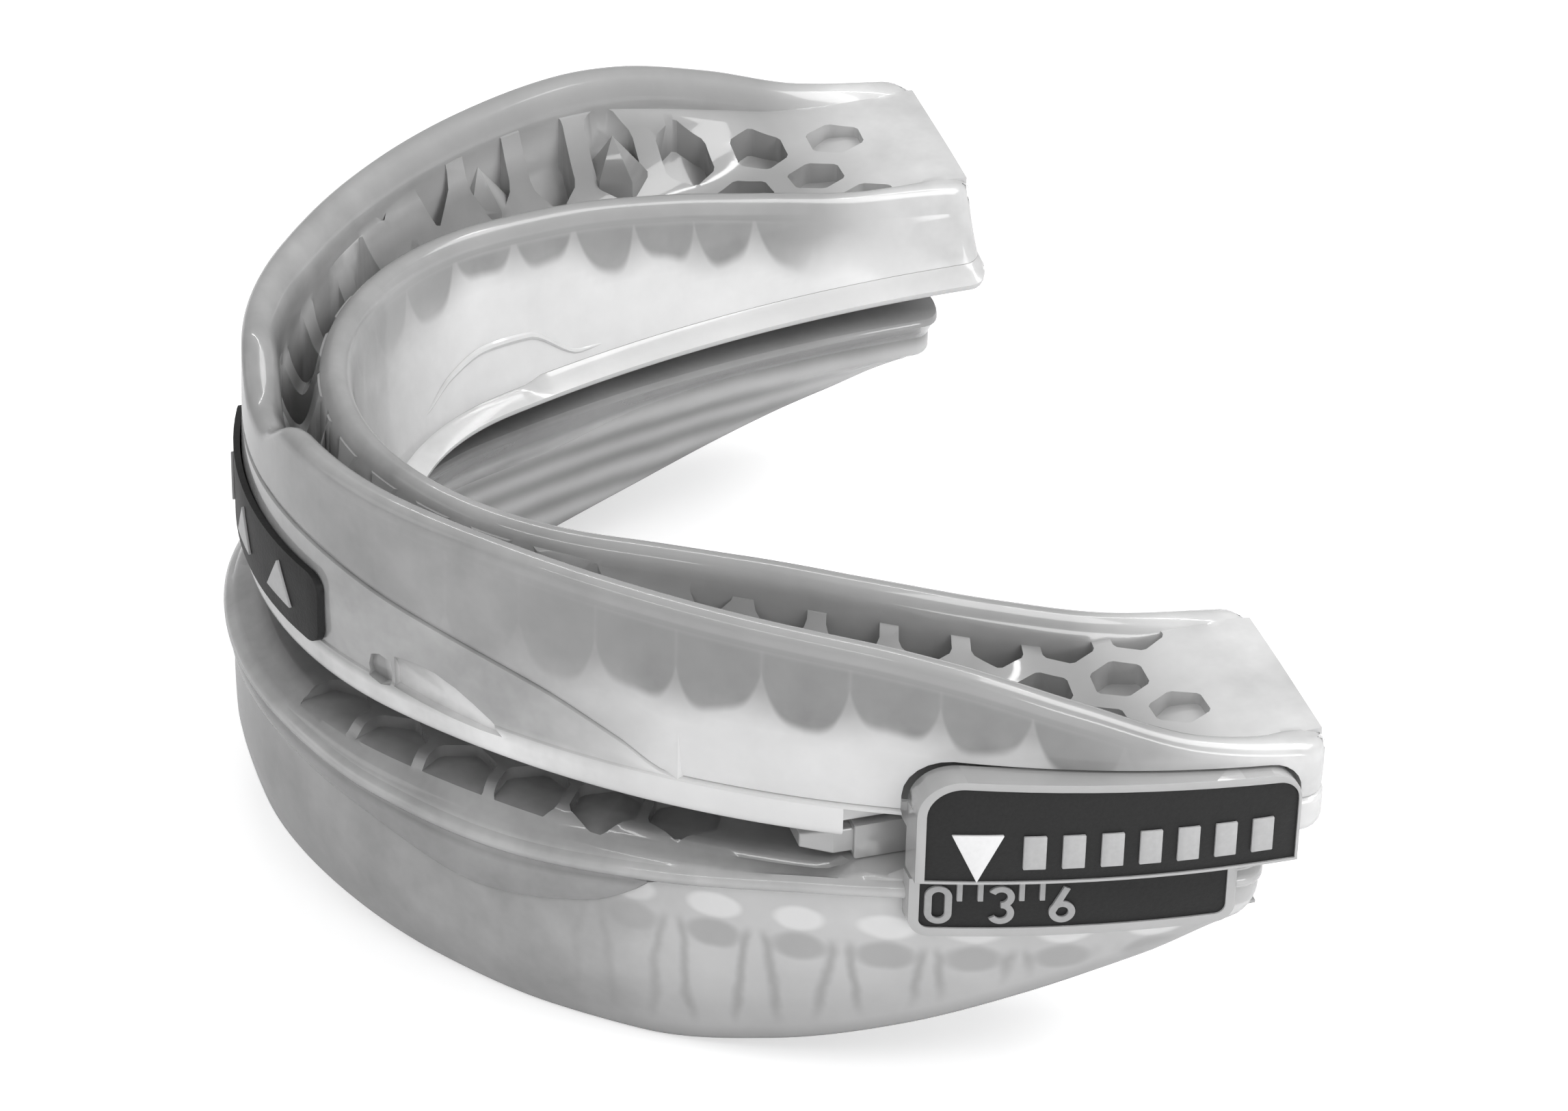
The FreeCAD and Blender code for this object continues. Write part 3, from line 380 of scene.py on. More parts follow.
def lower_lining_ring(sec):
    """Closed outline of the lower lining without its ribs; the trough opens downwards."""
    rim, tongue_rim, roof, _, _ = lower_levels(sec)
    skirt = min(lower_skirt_line(sec.oy), bead_line(sec.oy) - 0.45)
    base = max(10.7, skirt + 0.02)
    lift = 0.35 * sec.inset
    ring = [sec.between(t, base - 0.02) for t in (0.85, 0.5, 0.15)]
    ring += [sec.outer(1.47, base - 0.02)]
    ring += [sec.outer(1.47, z) for z in spread(base - 0.06, skirt - 0.04, 3)]
    ring += [sec.outer(1.47, skirt - 0.03), sec.outer(0.56, skirt - 0.06)]
    room = min(1.0, (skirt - rim) / 5.5)
    chamfer = 3.6 * room
    top, bottom = skirt - 0.1, rim + chamfer
    for i in range(1, 13):
        z = top + (bottom - top) * i / 12
        ring.append(sec.outer(0.56 - 0.05 * math.sin(math.pi * i / 12), z))
    for share in (0.25, 0.5, 0.75):
        ring.append(sec.outer(0.56 + 0.75 * share ** 1.25,
                              bottom + (rim + 0.5 * room - bottom) * share))
    for depth, rise in ((1.35, 0.42), (1.5, 0.16), (1.72, 0.02),
                        (2.0, 0.03), (2.3, 0.2), (2.5, 0.5)):
        ring.append(sec.outer(depth, rim + rise * room + lift))
    ring += [sec.between(0.08, z) for z in spread(rim + 0.8 * room, roof, 6)]
    for i in range(13):
        t = 0.08 + 0.92 * i / 12
        ring.append(sec.between(t, roof - 0.3 * abs(2 * t - 1) ** 3 * room))
    room = min(1.0, (roof - tongue_rim) / 3.0)
    ring += [sec.between(1.0, z) for z in spread(roof - 0.3 * room, tongue_rim + 0.9 * room, 5)[1:]]
    for depth, rise in ((1.76, 0.8), (1.6, 0.4), (1.3, 0.12), (1.0, 0.0)):
        ring.append(sec.tongue(depth - sec.inset, tongue_rim + rise * room + lift))
    for depth, rise in ((0.7, 0.02), (0.4, 0.14), (0.16, 0.4), (0.03, 0.8)):
        ring.append(sec.tongue(depth, tongue_rim + rise * room + lift))
    low = tongue_rim + 1.1 * room
    for i in range(10):
        z = low + (base - 0.02 - low) * i / 9
        share = (z - tongue_rim) / (10.7 - tongue_rim)
        ring.append(sec.tongue(-LINER_FLARE * min(1.0, max(0.0, share)) ** 1.7, z))
    return ring


def lower_rib_ring(sec):
    """Closed outline of the solid that the lower honeycomb is cut from."""
    _, _, roof, tip, tongue_tip = lower_levels(sec)
    middle = roof - 1.6 * min(1.0, (roof - tip) / 3)
    across = rib_places(sec, 16)
    ring = [sec.between(t, bowl(t, tip, middle, tongue_tip)) for t in across]
    return ring + [sec.between(t, roof + 0.12) for t in across[::-2]]


# Meshes -------------------------------------------------------------------------------------------

def placed(name, data):
    """A new object in the scene."""
    obj = bpy.data.objects.new(name, data)
    bpy.context.scene.collection.objects.link(obj)
    return obj


def new_object(name, points, faces):
    mesh = bpy.data.meshes.new(name)
    mesh.from_pydata([(x * MM, y * MM, z * MM) for x, y, z in points], [], faces)
    work = bmesh.new()
    work.from_mesh(mesh)
    bmesh.ops.remove_doubles(work, verts=work.verts, dist=1e-7)
    bmesh.ops.recalc_face_normals(work, faces=work.faces)
    work.to_mesh(mesh)
    work.free()
    return placed(name, mesh)


def loft(name, rings):
    """A solid through closed outlines that all have the same number of points."""
    count = len(rings[0])
    points = [point for ring in rings for point in ring]
    faces = []
    for i in range(len(rings) - 1):
        for j in range(count):
            k = (j + 1) % count
            faces.append((i * count + j, i * count + k, (i + 1) * count + k, (i + 1) * count + j))
    faces.append(tuple(range(count)))
    faces.append(tuple((len(rings) - 1) * count + j for j in reversed(range(count))))
    return new_object(name, points, faces)


def tray_solid(name, ring_of, outer, tongue):
    return loft(name, [ring_of(Section(share, outer, tongue)) for share in stations(outer)])


def boolean(base, tool, operation):
    """Applies one Boolean operation and removes the tool."""
    modifier = base.modifiers.new("cut", "BOOLEAN")
    modifier.object = tool
    modifier.operation = operation
    modifier.solver = "MANIFOLD"
    with bpy.context.temp_override(object=base, active_object=base):
        bpy.ops.object.modifier_apply(modifier=modifier.name)
    bpy.data.objects.remove(tool)
    if not base.data.polygons:
        raise RuntimeError("nothing is left of " + base.name)
    return base


def prism_faces(count):
    """Faces of a closed solid between two outlines of count points, one listed after the other."""
    faces = [tuple(range(count)), tuple(range(count, 2 * count))]
    return faces + [(i, (i + 1) % count, count + (i + 1) % count, count + i) for i in range(count)]


def prism(outline, low, high, taper=1.0):
    """A vertical prism over a plan outline; taper shrinks its lower end about its middle."""
    cx = sum(p[0] for p in outline) / len(outline)
    cy = sum(p[1] for p in outline) / len(outline)
    points = [(cx + (x - cx) * taper, cy + (y - cy) * taper, low) for x, y in outline]
    points += [(x, y, high) for x, y in outline]
    return points, prism_faces(len(outline))


def many(name, solids):
    points, faces = [], []
    for some_points, some_faces in solids:
        start = len(points)
        points += some_points
        faces += [tuple(start + v for v in face) for face in some_faces]
    return new_object(name, points, faces)


def box(x0, x1, y0, y1, z0, z1):
    points = [(x, y, z) for z in (z0, z1) for x, y in ((x0, y0), (x1, y0), (x1, y1), (x0, y1))]
    return points, [(0, 1, 2, 3), (4, 5, 6, 7), (0, 1, 5, 4),
                    (1, 2, 6, 5), (2, 3, 7, 6), (3, 0, 4, 7)]


def flipped(solid):
    points, faces = solid
    return [(-x, y, z) for x, y, z in points], faces


def both(solids):
    return solids + [flipped(solid) for solid in solids]


# Honeycomb ----------------------------------------------------------------------------------------

PITCH = 3.9
FAR_PITCH = 4.3
ROW = 3.38
CELL_ALONG = 1.45
CELL_TIP = 1.68
LATTICE_START = LATTICE.length - 8.1


def lattice_cells():
    """(distance along, offset across) of every cell, the left half's first."""
    cells = []
    for side, pitch in ((1, PITCH), (-1, FAR_PITCH)):
        for row in (-2, -1, 0, 1, 2):
            shift = 0.5 if row % 2 else 0.0
            for k in range(0, 19):
                if abs(row) == 2 and k < 2:
                    continue
                along = LATTICE_START - pitch * (k - shift)
                if 0.9 < along < LATTICE.length - 2.2:
                    cells.append((side * along, row * ROW))
    return cells


def cell_outline(along, offset, grow=1.0):
    """Plan outline of a cell, its corners rounded a little, carried by the lattice's own arch."""
    corners = []
    half_width = CELL_ALONG * (1.0 if along > 0 else FAR_PITCH / PITCH)
    reach = LATTICE.radius if abs(along) < LATTICE.front_length else LATTICE.side_radius
    squeeze = (reach / (reach + offset)) ** 0.6
    for k in range(6):
        turn = math.radians(90 + 60 * k)
        corners.append((math.cos(turn) * half_width / math.cos(math.radians(30)) * grow * squeeze,
                        math.sin(turn) * CELL_TIP * grow))
    outline = []
    for k in range(6):
        here, before, after = corners[k], corners[k - 1], corners[(k + 1) % 6]
        for other in (before, after):
            outline.append((here[0] + (other[0] - here[0]) * 0.1,
                            here[1] + (other[1] - here[1]) * 0.1))
    return [lattice_place(along + a, offset + c) for a, c in outline]


def lattice_place(along, offset):
    (x, y), (nx, ny) = LATTICE.at(along)
    return x + nx * offset, y + ny * offset


def honeycomb_cutter(name, low, high, taper):
    solids = [prism(cell_outline(along, offset), low, high, taper)
              for along, offset in lattice_cells()]
    return many(name, solids)


def lump(along, offset, low, shoulder, top, grow):
    """A six-sided lump with a pointed, slightly twisted top that stands in a cell."""
    outline = cell_outline(along, offset, grow)[::2]
    cx, cy = lattice_place(along, offset)
    points = [(x, y, low) for x, y in outline]
    points += [(cx + (x - cx) * 0.93, cy + (y - cy) * 0.93, shoulder + 0.25 * math.sin(2.1 * k))
               for k, (x, y) in enumerate(outline)]
    points.append((cx + 0.25, cy - 0.2, top))
    faces = [tuple(range(6))]
    for k in range(6):
        n = (k + 1) % 6
        faces += [(k, n, 6 + n, 6 + k), (6 + k, 6 + n, 12)]
    return points, faces


def ridge(side):
    """A low rounded ridge that arches over the tongue-side face of one arm."""
    points, faces = [], []
    count, around = 36, 8
    for i in range(count + 1):
        walked = 13.0 + 13.5 * i / count
        (x, y), (nx, ny) = TONGUE.at(side * walked)
        z = tongue_lip_line(y)
        share = max(0.0, (tongue_rim_line(y) - z) / (tongue_rim_line(y) - 16.4))
        depth = -LINER_FLARE * min(1.0, share) ** 1.7
        radius = 0.2 * max(0.12, math.sin(math.pi * i / count) ** 0.5)
        for k in range(around):
            turn = 2 * math.pi * k / around
            off = depth + radius * math.cos(turn)
            points.append((x + nx * off, y + ny * off, z + radius * 1.3 * math.sin(turn)))
    for i in range(count):
        for k in range(around):
            n = (k + 1) % around
            faces.append((i * around + k, i * around + n,
                          (i + 1) * around + n, (i + 1) * around + k))
    faces += [tuple(range(around)), tuple(count * around + k for k in range(around))]
    return points, faces


def upper_lining():
    trough = tray_solid("upper_lining", trough_ring, OUTER, TONGUE)
    ribs = tray_solid("ribs", rib_ring, OUTER, TONGUE)
    boolean(ribs, honeycomb_cutter("cells", 14.0, 30.0, 0.9), "DIFFERENCE")
    end = LATTICE_START
    near = [(end - PITCH * 3.5, ROW, 17.0, 20.8, 23.4, 1.16),
            (end - PITCH * 5.5, ROW, 17.0, 21.3, 23.6, 1.1)]
    far = [(-(end - FAR_PITCH * 2.5), ROW, 17.0, 20.8, 23.2, 1.16),
           (-(end - FAR_PITCH * 4.5), ROW, 17.0, 21.8, 24.2, 1.12),
           (-(end - FAR_PITCH * 6.5), ROW, 17.0, 22.0, 24.4, 1.05),
           (-(end - FAR_PITCH * 4), 0, 17.8, 19.8, 21.6, 0.95)]
    lumps = many("lumps", [lump(*spec) for spec in near + far])
    boolean(trough, ribs, "UNION")
    boolean(trough, lumps, "UNION")
    for side in (1, -1):
        boolean(trough, many("ridge", [ridge(side)]), "UNION")
    return trough


# Cutters for the working parts --------------------------------------------------------------------

GAP = 0.08
TAB_AXIS = (-24.4, 22.2)


def tab_face(radius, y):
    return TAB_AXIS[0] + math.sqrt(radius * radius - (TAB_AXIS[1] - y) ** 2)


def curved_block(radius, outline):
    """A block through the left wall, its inner face on a circle about the tab's upright axis."""
    points = [(tab_face(radius, y), y, z) for y, z in outline]
    points += [(44.0, y, z) for y, z in outline]
    return points, prism_faces(len(outline))


def corner(cy, cz, radius, start, end, count=6):
    return [(cy + radius * math.cos(math.radians(start + (end - start) * i / count)),
             cz + radius * math.sin(math.radians(start + (end - start) * i / count)))
            for i in range(count + 1)]


def dense(outline, step=0.8):
    """The outline with long edges divided, so that it can bend."""
    result = []
    for k, (y, z) in enumerate(outline):
        ny, nz = outline[(k + 1) % len(outline)]
        parts = max(1, int(math.hypot(ny - y, nz - z) / step))
        result += [(y + (ny - y) * i / parts, z + (nz - z) * i / parts) for i in range(parts)]
    return result


def tab_outline(outset, base):
    front, back = 3.2 - outset, 22.2 + outset
    front_top, back_top = 20.3 + outset, 19.3 + outset
    return dense([(front, base), (back, base)]
                 + corner(back - 1.7, back_top - 1.65, 1.7, 0, 90)
                 + corner(front + 2.3, front_top - 2.45, 2.3, 90, 180))


def scale_outline(outset, top):
    low, front, back = 10.2 - outset, 3.2 - outset, 19.4 + outset
    return dense(corner(front + 1, low + 1, 1, 180, 270, 4)
                 + corner(back - 1, low + 1, 1, 270, 360, 4) + [(back, top), (front, top)])


def rail_room():
    """What the rail's head, the pawl and the tab's arms move in, as in the CAD frame."""
    middle, neck, head = 25.0, 0.9, 1.7
    mesh_gap, pawl_depth, squeeze, advance = 0.06, 1.2, 1.0, 4.5
    head_low, head_high, roof = 15.95, 16.7, 17.78
    front, back = 2.8 - advance - GAP, 30.0
    inner = middle - head - mesh_gap - pawl_depth - squeeze - GAP
    blocks = [box(middle - neck - GAP, middle + neck + GAP, front, back, 14.0, 16.1),
              box(middle - head - GAP, middle + head + GAP, front, back,
                  head_low - GAP, head_high + GAP),
              box(inner, 23.5, 5.1 - GAP, 19.3 + GAP, head_low - GAP, roof)]
    for arm in (6.2, 15.2):
        blocks.append(box(inner, 36.0, arm - GAP, arm + 3.0 + GAP, head_high, roof))
    return blocks


def cut_each(base, solids):
    for solid in both(solids):
        boolean(base, many("tool", [solid]), "DIFFERENCE")
    return base


# Lens-shaped recess and slot in the skirt ---------------------------------------------------------

RECESS_ABOVE = 0.6


def distance_at(y):
    """Distance along the left half of the outer arch where it reaches the given Y."""
    low, high = 0.0, OUTER.length
    for _ in range(40):
        middle = (low + high) / 2
        if OUTER.at(middle)[0][1] < y:
            low = middle
        else:
            high = middle
    return low


def skirt_recess(outline):
    """A cutter for a shallow pocket: an outline of (Y, height, depth) along the wall's normal."""
    front, back = [], []
    for y, z, depth in outline:
        (x, wall_y), (nx, ny) = OUTER.at(distance_at(y))
        front.append((x + nx * RECESS_ABOVE, wall_y + ny * RECESS_ABOVE, z))
        back.append((x - nx * depth, wall_y - ny * depth, z))
    count = len(outline)
    back_middle = tuple(sum(point[i] for point in back) / count for i in range(3))
    front_middle = tuple(sum(point[i] for point in front) / count for i in range(3))
    faces = [(i, (i + 1) % count, count + (i + 1) % count, count + i) for i in range(count)]
    faces += [(i, (i + 1) % count, 2 * count) for i in range(count)]
    faces += [(count + i, count + (i + 1) % count, 2 * count + 1) for i in range(count)]
    return back + front + [back_middle, front_middle], faces


LENS = [(-18.5, 18.75, 0.15), (-18.5, 17.9, 0.5), (-18.5, 16.95, 0.5), (-17.4, 16.75, 0.5),
        (-16.2, 16.6, 0.5), (-15.1, 16.55, 0.42), (-14.2, 16.6, 0.3), (-14.7, 17.25, 0.42),
        (-15.4, 17.9, 0.45), (-16.1, 18.45, 0.4), (-16.9, 18.85, 0.3), (-17.8, 18.95, 0.2)]
SLOT = [(-19.45, 16.9, 0.45), (-19.0, 16.7, 0.55), (-18.65, 16.9, 0.55), (-18.6, 17.6, 0.5),
        (-18.65, 18.3, 0.4), (-19.1, 18.45, 0.4), (-19.4, 18.2, 0.4), (-19.5, 17.5, 0.4)]


# Building the trays -------------------------------------------------------------------------------

tab_cut = curved_block(57.3, tab_outline(0.2, 13.0))
scale_cut = curved_block(58.3, scale_outline(0.0, 15.0))
step_cut = box(28.2, 42.0, 0.35, 3.7, 14.0, 17.0)
seat_cut = box(23.9 - 1.58, 28.6 + 1.58, -1.9, 30.0, 13.02, 15.0)
FOOT_X, FOOT_ROOM, FOOT_LENGTH = 26.25, 2.38, 4
foot_cuts = []
for foot in (6.2, 14.2):
    for ledge, low, high in ((0.08, 11.9, 13.5), (0.88, 11.0, 12.08)):
        foot_cuts.append(box(FOOT_X - FOOT_ROOM, FOOT_X + FOOT_ROOM,
                             foot - ledge, foot + (FOOT_LENGTH + ledge), low, high))

upper_lining_piece = cut_each(upper_lining(), [tab_cut])
upper_shell = cut_each(tray_solid("upper_shell", upper_shell_ring, OUTER, TONGUE),
                       rail_room() + [tab_cut, step_cut, skirt_recess(LENS), skirt_recess(SLOT)])
lower_shell = cut_each(tray_solid("lower_shell", lower_shell_ring, LOWER_OUTER, LOWER_TONGUE),
                       [seat_cut, scale_cut] + foot_cuts)
shelf_pockets = [prism(cell_outline(along, ROW - 1.3, 1.2), 12.0, 14.6)
                 for along, offset in lattice_cells()
                 if offset == ROW and 4.0 < abs(along) < 27.0]
boolean(lower_shell, many("pockets", shelf_pockets), "DIFFERENCE")
lower_ribs = tray_solid("lower_ribs", lower_rib_ring, LOWER_OUTER, LOWER_TONGUE)
boolean(lower_ribs, honeycomb_cutter("cells", -4.0, 14.0, 1.0), "DIFFERENCE")
lower_lining_piece = tray_solid("lower_lining", lower_lining_ring, LOWER_OUTER, LOWER_TONGUE)
boolean(lower_lining_piece, lower_ribs, "UNION")
cut_each(lower_lining_piece, [scale_cut])


# Tone per vertex with painted light and shade; the materials add painted shade of cells behind a
# wall --

def soft_step(x, edge, width):
    return np.clip((x - edge) / width + 0.5, 0, 1)


def places(obj):
    """The mesh's points in millimetres, as columns x, y, z."""
    flat = np.zeros(len(obj.data.vertices) * 3)
    obj.data.vertices.foreach_get("co", flat)
    return (flat.reshape(-1, 3) / MM).T


def blended(base, other, share):
    return base * (1 - share) + other * share


def save(obj, **columns):
    for name, values in columns.items():
        attribute = obj.data.attributes.new(name, "FLOAT", "POINT")
        attribute.data.foreach_set("value", np.asarray(values, dtype=np.float32))


def by_y(line, y):
    return np.array([line(value) for value in y])


def cell_phase(x, y):
    """How many cells away from the rear end of the lattice, whole numbers at the cells' middles."""
    along, _ = LATTICE.measure(x, y)
    return (LATTICE_START - np.abs(along)) / np.where(along > 0, PITCH, FAR_PITCH)


def tone_upper_lining(obj):
    x, y, z = places(obj)
    _, depth = OUTER.measure(x, y)
    _, tongue_depth = TONGUE.measure(x, y)
    phase = cell_phase(x, y)
    rim, tongue_rim = by_y(rim_line, y), by_y(tongue_rim_line, y)
    outside, tongue_side = depth < 0.75, tongue_depth > -0.25
    under = np.where(tongue_side, tongue_rim, rim) - z
    stepped = tongue_rim - 2.3 - 1.2 * soft_step(y, -2.0, 6.0) - 1.6 * (1 - soft_step(y, -8.0, 8.0))
    height = (z - np.where(tongue_side, stepped, by_y(floor_wall_line, y))
              - 0.35 * np.sin(4.1 * phase + 1.3))
    backward = soft_step(y, -11.5, 9.0)
    # painted light: walls near white low down toward the rear, a painted glow; grey at the front
    wall = blended(0.43, 0.9, backward * (1 - soft_step(height, 0.4, 2.2)))
    # painted light: a lighter band on the inner wall below the rim
    painted_light_inner_band = (soft_step(rim - z, 2.4, 1.6) * soft_step(depth, 2.0, 0.3)
                   * (1 - soft_step(depth, 2.6, 0.4)))
    tone = np.where(outside | tongue_side, wall, 0.4 + 0.26 * painted_light_inner_band)
    # painted light: the rear end lighter
    tone = blended(tone, np.maximum(tone, 0.78), soft_step(y, 17.0, 5.0))
    # strength of the painted see-through shade of the cells, from the front to the rear
    show = (0.22 + 0.78 * soft_step(y, -11.0, 6.0)) * (1 - soft_step(y, 12.5, 3.5))
    save(obj, tone=tone, phase=phase, height=height, under=under,
         show=np.where(outside | tongue_side, show, 0.0),
         haze=1 - 0.7 * backward + 0.5 * soft_step(y, 20.0, 4.0))


def tone_upper_shell(obj):
    x, y, z = places(obj)
    _, depth = OUTER.measure(x, y)
    _, tongue_depth = TONGUE.measure(x, y)
    backward = soft_step(y, -10.0, 5.0)
    # painted light and shade: white flange and rear, a painted grey shade on the skirt above the
    # flange toward the front
    border = soft_step(z, 16.6 + 0.35 * soft_step(y, -16.0, 6.0), 0.5)
    outer = blended(0.92, 0.5, border * (1 - backward))
    in_lens = (depth > 0.28) & (depth < 0.8) & (y < -13.9) & (y > -18.52) & (z < 19.2) & (z > 16.4)
    in_slot = (depth > 0.28) & (depth < 0.8) & (y < -18.52) & (y > -19.7) & (z < 18.7) & (z > 16.4)
    # painted highlight in the lens recess, painted shade in the slot
    outer = np.where(in_lens, 0.97, np.where(in_slot, 0.4, outer))
    save(obj, tone=np.where(tongue_depth > 0.5, 0.74, outer),
         haze=1 - 0.8 * backward + 0.4 * soft_step(y, 20.0, 4.0))


def tone_lower_shell(obj):
    x, y, z = places(obj)
    _, depth = LOWER_OUTER.measure(x, y)
    bead = by_y(bead_line, y)
    # painted highlight along the bead
    front = 0.4 + 0.18 * np.exp(-((z - bead - 0.2) / 0.4) ** 2)
    # painted shade in the groove under the bead
    front -= 0.13 * np.exp(-((z - bead + 0.62) / 0.25) ** 2)
    # painted light: lighter toward the rear
    backward = soft_step(y, -4.0, 8.0)
    tone = blended(front, 0.64, backward)
    # painted shade deep in the gap under the upper tray
    in_gap = soft_step(depth, 1.6, 0.5) * soft_step(z, 11.8, 0.5)
    save(obj, tone=blended(tone, 0.2, in_gap * (1 - 0.35 * backward)), haze=1 - 0.6 * backward)


def tone_lower_lining(obj):
    x, y, z = places(obj)
    _, depth = LOWER_OUTER.measure(x, y)
    _, tongue_depth = LOWER_TONGUE.measure(x, y)
    rim = by_y(lower_rim_line, y)
    backward = soft_step(y, -9.0, 7.0)
    # painted light: lighter toward the rear, more so higher up; darker just above the rim
    tone = 0.45 + 0.17 * backward + 0.08 * soft_step(z - rim, 4.0, 3.0) * backward
    tone -= 0.16 * (1 - soft_step(z - rim, 0.7, 0.9))
    save(obj, tone=np.where(depth < 1.2, tone, 0.5), phase=cell_phase(x, y), height=z - rim,
         under=9.5 - z, show=np.where(depth < 1.2, 0.15 + 0.85 * backward, 0.0),
         haze=1 - 0.7 * backward,
         streaks=np.where(tongue_depth > -0.3, 1.0, 0.0))


tone_upper_lining(upper_lining_piece)
tone_upper_shell(upper_shell)
tone_lower_shell(lower_shell)
tone_lower_lining(lower_lining_piece)


# Materials ----------------------------------------------------------------------------------------

def principled(name):
    material = bpy.data.materials.new(name)
    material.use_nodes = True
    return material, material.node_tree, material.node_tree.nodes["Principled BSDF"]


def noise(tree, scale, detail, rough=0.5):
    place = tree.nodes.new("ShaderNodeTexCoord")
    node = tree.nodes.new("ShaderNodeTexNoise")
    node.inputs["Scale"].default_value = scale
    node.inputs["Detail"].default_value = detail
    node.inputs["Roughness"].default_value = rough
    tree.links.new(place.outputs["Object"], node.inputs["Vector"])
    return node.outputs["Fac"]


def ramp(tree, value, start, end, low=0.0, high=1.0, kind="SMOOTHSTEP"):
    """A step of a value from low at start to high at end, soft unless it is linear."""
    node = tree.nodes.new("ShaderNodeMapRange")
    node.interpolation_type = kind
    for name, amount in (("From Min", start), ("From Max", end), ("To Min", low), ("To Max", high)):
        node.inputs[name].default_value = amount
    tree.links.new(value, node.inputs["Value"])
    return node.outputs["Result"]


def span(tree, value, low, high):
    """A value from 0 to 1 stretched to run from low to high."""
    return ramp(tree, value, 0.0, 1.0, low, high, "LINEAR")


def mix(tree, factor, first, second):
    """A colour between two plain ones, by a node's value."""
    node = tree.nodes.new("ShaderNodeMix")
    node.data_type = "RGBA"
    node.inputs[6].default_value = (*first, 1)
    node.inputs[7].default_value = (*second, 1)
    tree.links.new(factor, node.inputs[0])
    return node.outputs[2]


def maths(tree, operation, *values):
    node = tree.nodes.new("ShaderNodeMath")
    node.operation = operation
    for socket, value in zip(node.inputs, values):
        if isinstance(value, (int, float)):
            socket.default_value = value
        else:
            tree.links.new(value, socket)
    return node.outputs[0]


def times(tree, first, *others):
    for other in others:
        first = maths(tree, "MULTIPLY", first, other)
    return first


def toward(tree, value, target, share):
    """The value moved by a share towards a target."""
    gap = maths(tree, "SUBTRACT", target, value)
    return maths(tree, "MULTIPLY_ADD", gap, share, value)


def off_centre(tree):
    """Millimetres from the middle of the nearest cell."""
    return times(tree, maths(tree, "PINGPONG", attribute(tree, "phase"), 0.5), PITCH)


def columns(tree, tone):
    """Painted see-through shade of the cells behind the upper walls: dark columns, merged under the
    rim, scalloped at the bottom.
    """
    off, under, show = off_centre(tree), attribute(tree, "under"), attribute(tree, "show")
    height = maths(tree, "SUBTRACT", attribute(tree, "height"),
                   times(tree, off, off, off, off, 0.16))
    room = maths(tree, "SUBTRACT", ramp(tree, attribute(tree, "height"), 0.2, 1.7, 1.58, 2.1), off)
    patchy = span(tree, noise(tree, 420, 3), 0.45, 1.35)
    cell = times(tree, ramp(tree, room, -0.12, 0.35), ramp(tree, height, -0.3, 0.4),
                 ramp(tree, under, 1.0, 1.5), show, patchy)
    tone = toward(tree, tone, 0.3, cell)
    # a thin painted dark line just under the rim
    near_line = maths(tree, "ABSOLUTE", maths(tree, "SUBTRACT", under, 1.05))
    return toward(tree, tone, 0.3, times(tree, ramp(tree, near_line, 0.07, 0.24, 0.6, 0.0), show))


def painted_lower_cell_light_and_shade(tree, tone):
    """Painted light and shade of the cells behind the lower wall: painted highlight lobes under the
    bead, painted dark patches, tapering dark outlines.
    """
    off, under, show = off_centre(tree), attribute(tree, "under"), attribute(tree, "show")
    drift = span(tree, noise(tree, 300, 3), -0.55, 0.55)
    off = maths(tree, "ADD", off, drift)
    across = times(tree, off, off, 0.55)
    above = maths(tree, "MULTIPLY_ADD", under, 1.25, 0.45)
    painted_highlight_lobe = ramp(tree, maths(tree, "MULTIPLY_ADD", above, above, across), 0.45, 1.15, 0.85, 0.0)
    tone = toward(tree, tone, 0.95, times(tree, painted_highlight_lobe, show))
    level = maths(tree, "MULTIPLY_ADD", under, 1.1, -1.5)
    # painted shade: dark patches of the cells
    patch = ramp(tree, maths(tree, "MULTIPLY_ADD", level, level, across), 0.4, 1.3, 0.55, 0.0)
    tone = toward(tree, tone, 0.33, times(tree, patch, show))
    edge = maths(tree, "SUBTRACT", off, maths(tree, "MULTIPLY_ADD", under, -0.1, 1.65))
    line = ramp(tree, maths(tree, "ABSOLUTE", edge), 0.0, 0.42, 1.0, 0.0)
    line = times(tree, line, ramp(tree, attribute(tree, "height"), 0.8, 3.2),
                 ramp(tree, under, 0.4, 1.4), show, 0.55)
    tone = toward(tree, tone, 0.3, line)
    wave = maths(tree, "SINE", maths(tree, "MULTIPLY_ADD", under, 3.1, drift))
    return maths(tree, "MULTIPLY_ADD", times(tree, wave, 0.17), attribute(tree, "streaks"), tone)


def attribute(tree, name):
    node = tree.nodes.new("ShaderNodeAttribute")
    node.attribute_name = name
    return node.outputs["Fac"]


def grey(value):
    return (value, value, value * 1.005)


def bumped(tree, shader, height, distance, strength):
    node = tree.nodes.new("ShaderNodeBump")
    node.inputs["Distance"].default_value = distance
    node.inputs["Strength"].default_value = strength
    tree.links.new(height, node.inputs["Height"])
    tree.links.new(node.outputs["Normal"], shader.inputs["Normal"])


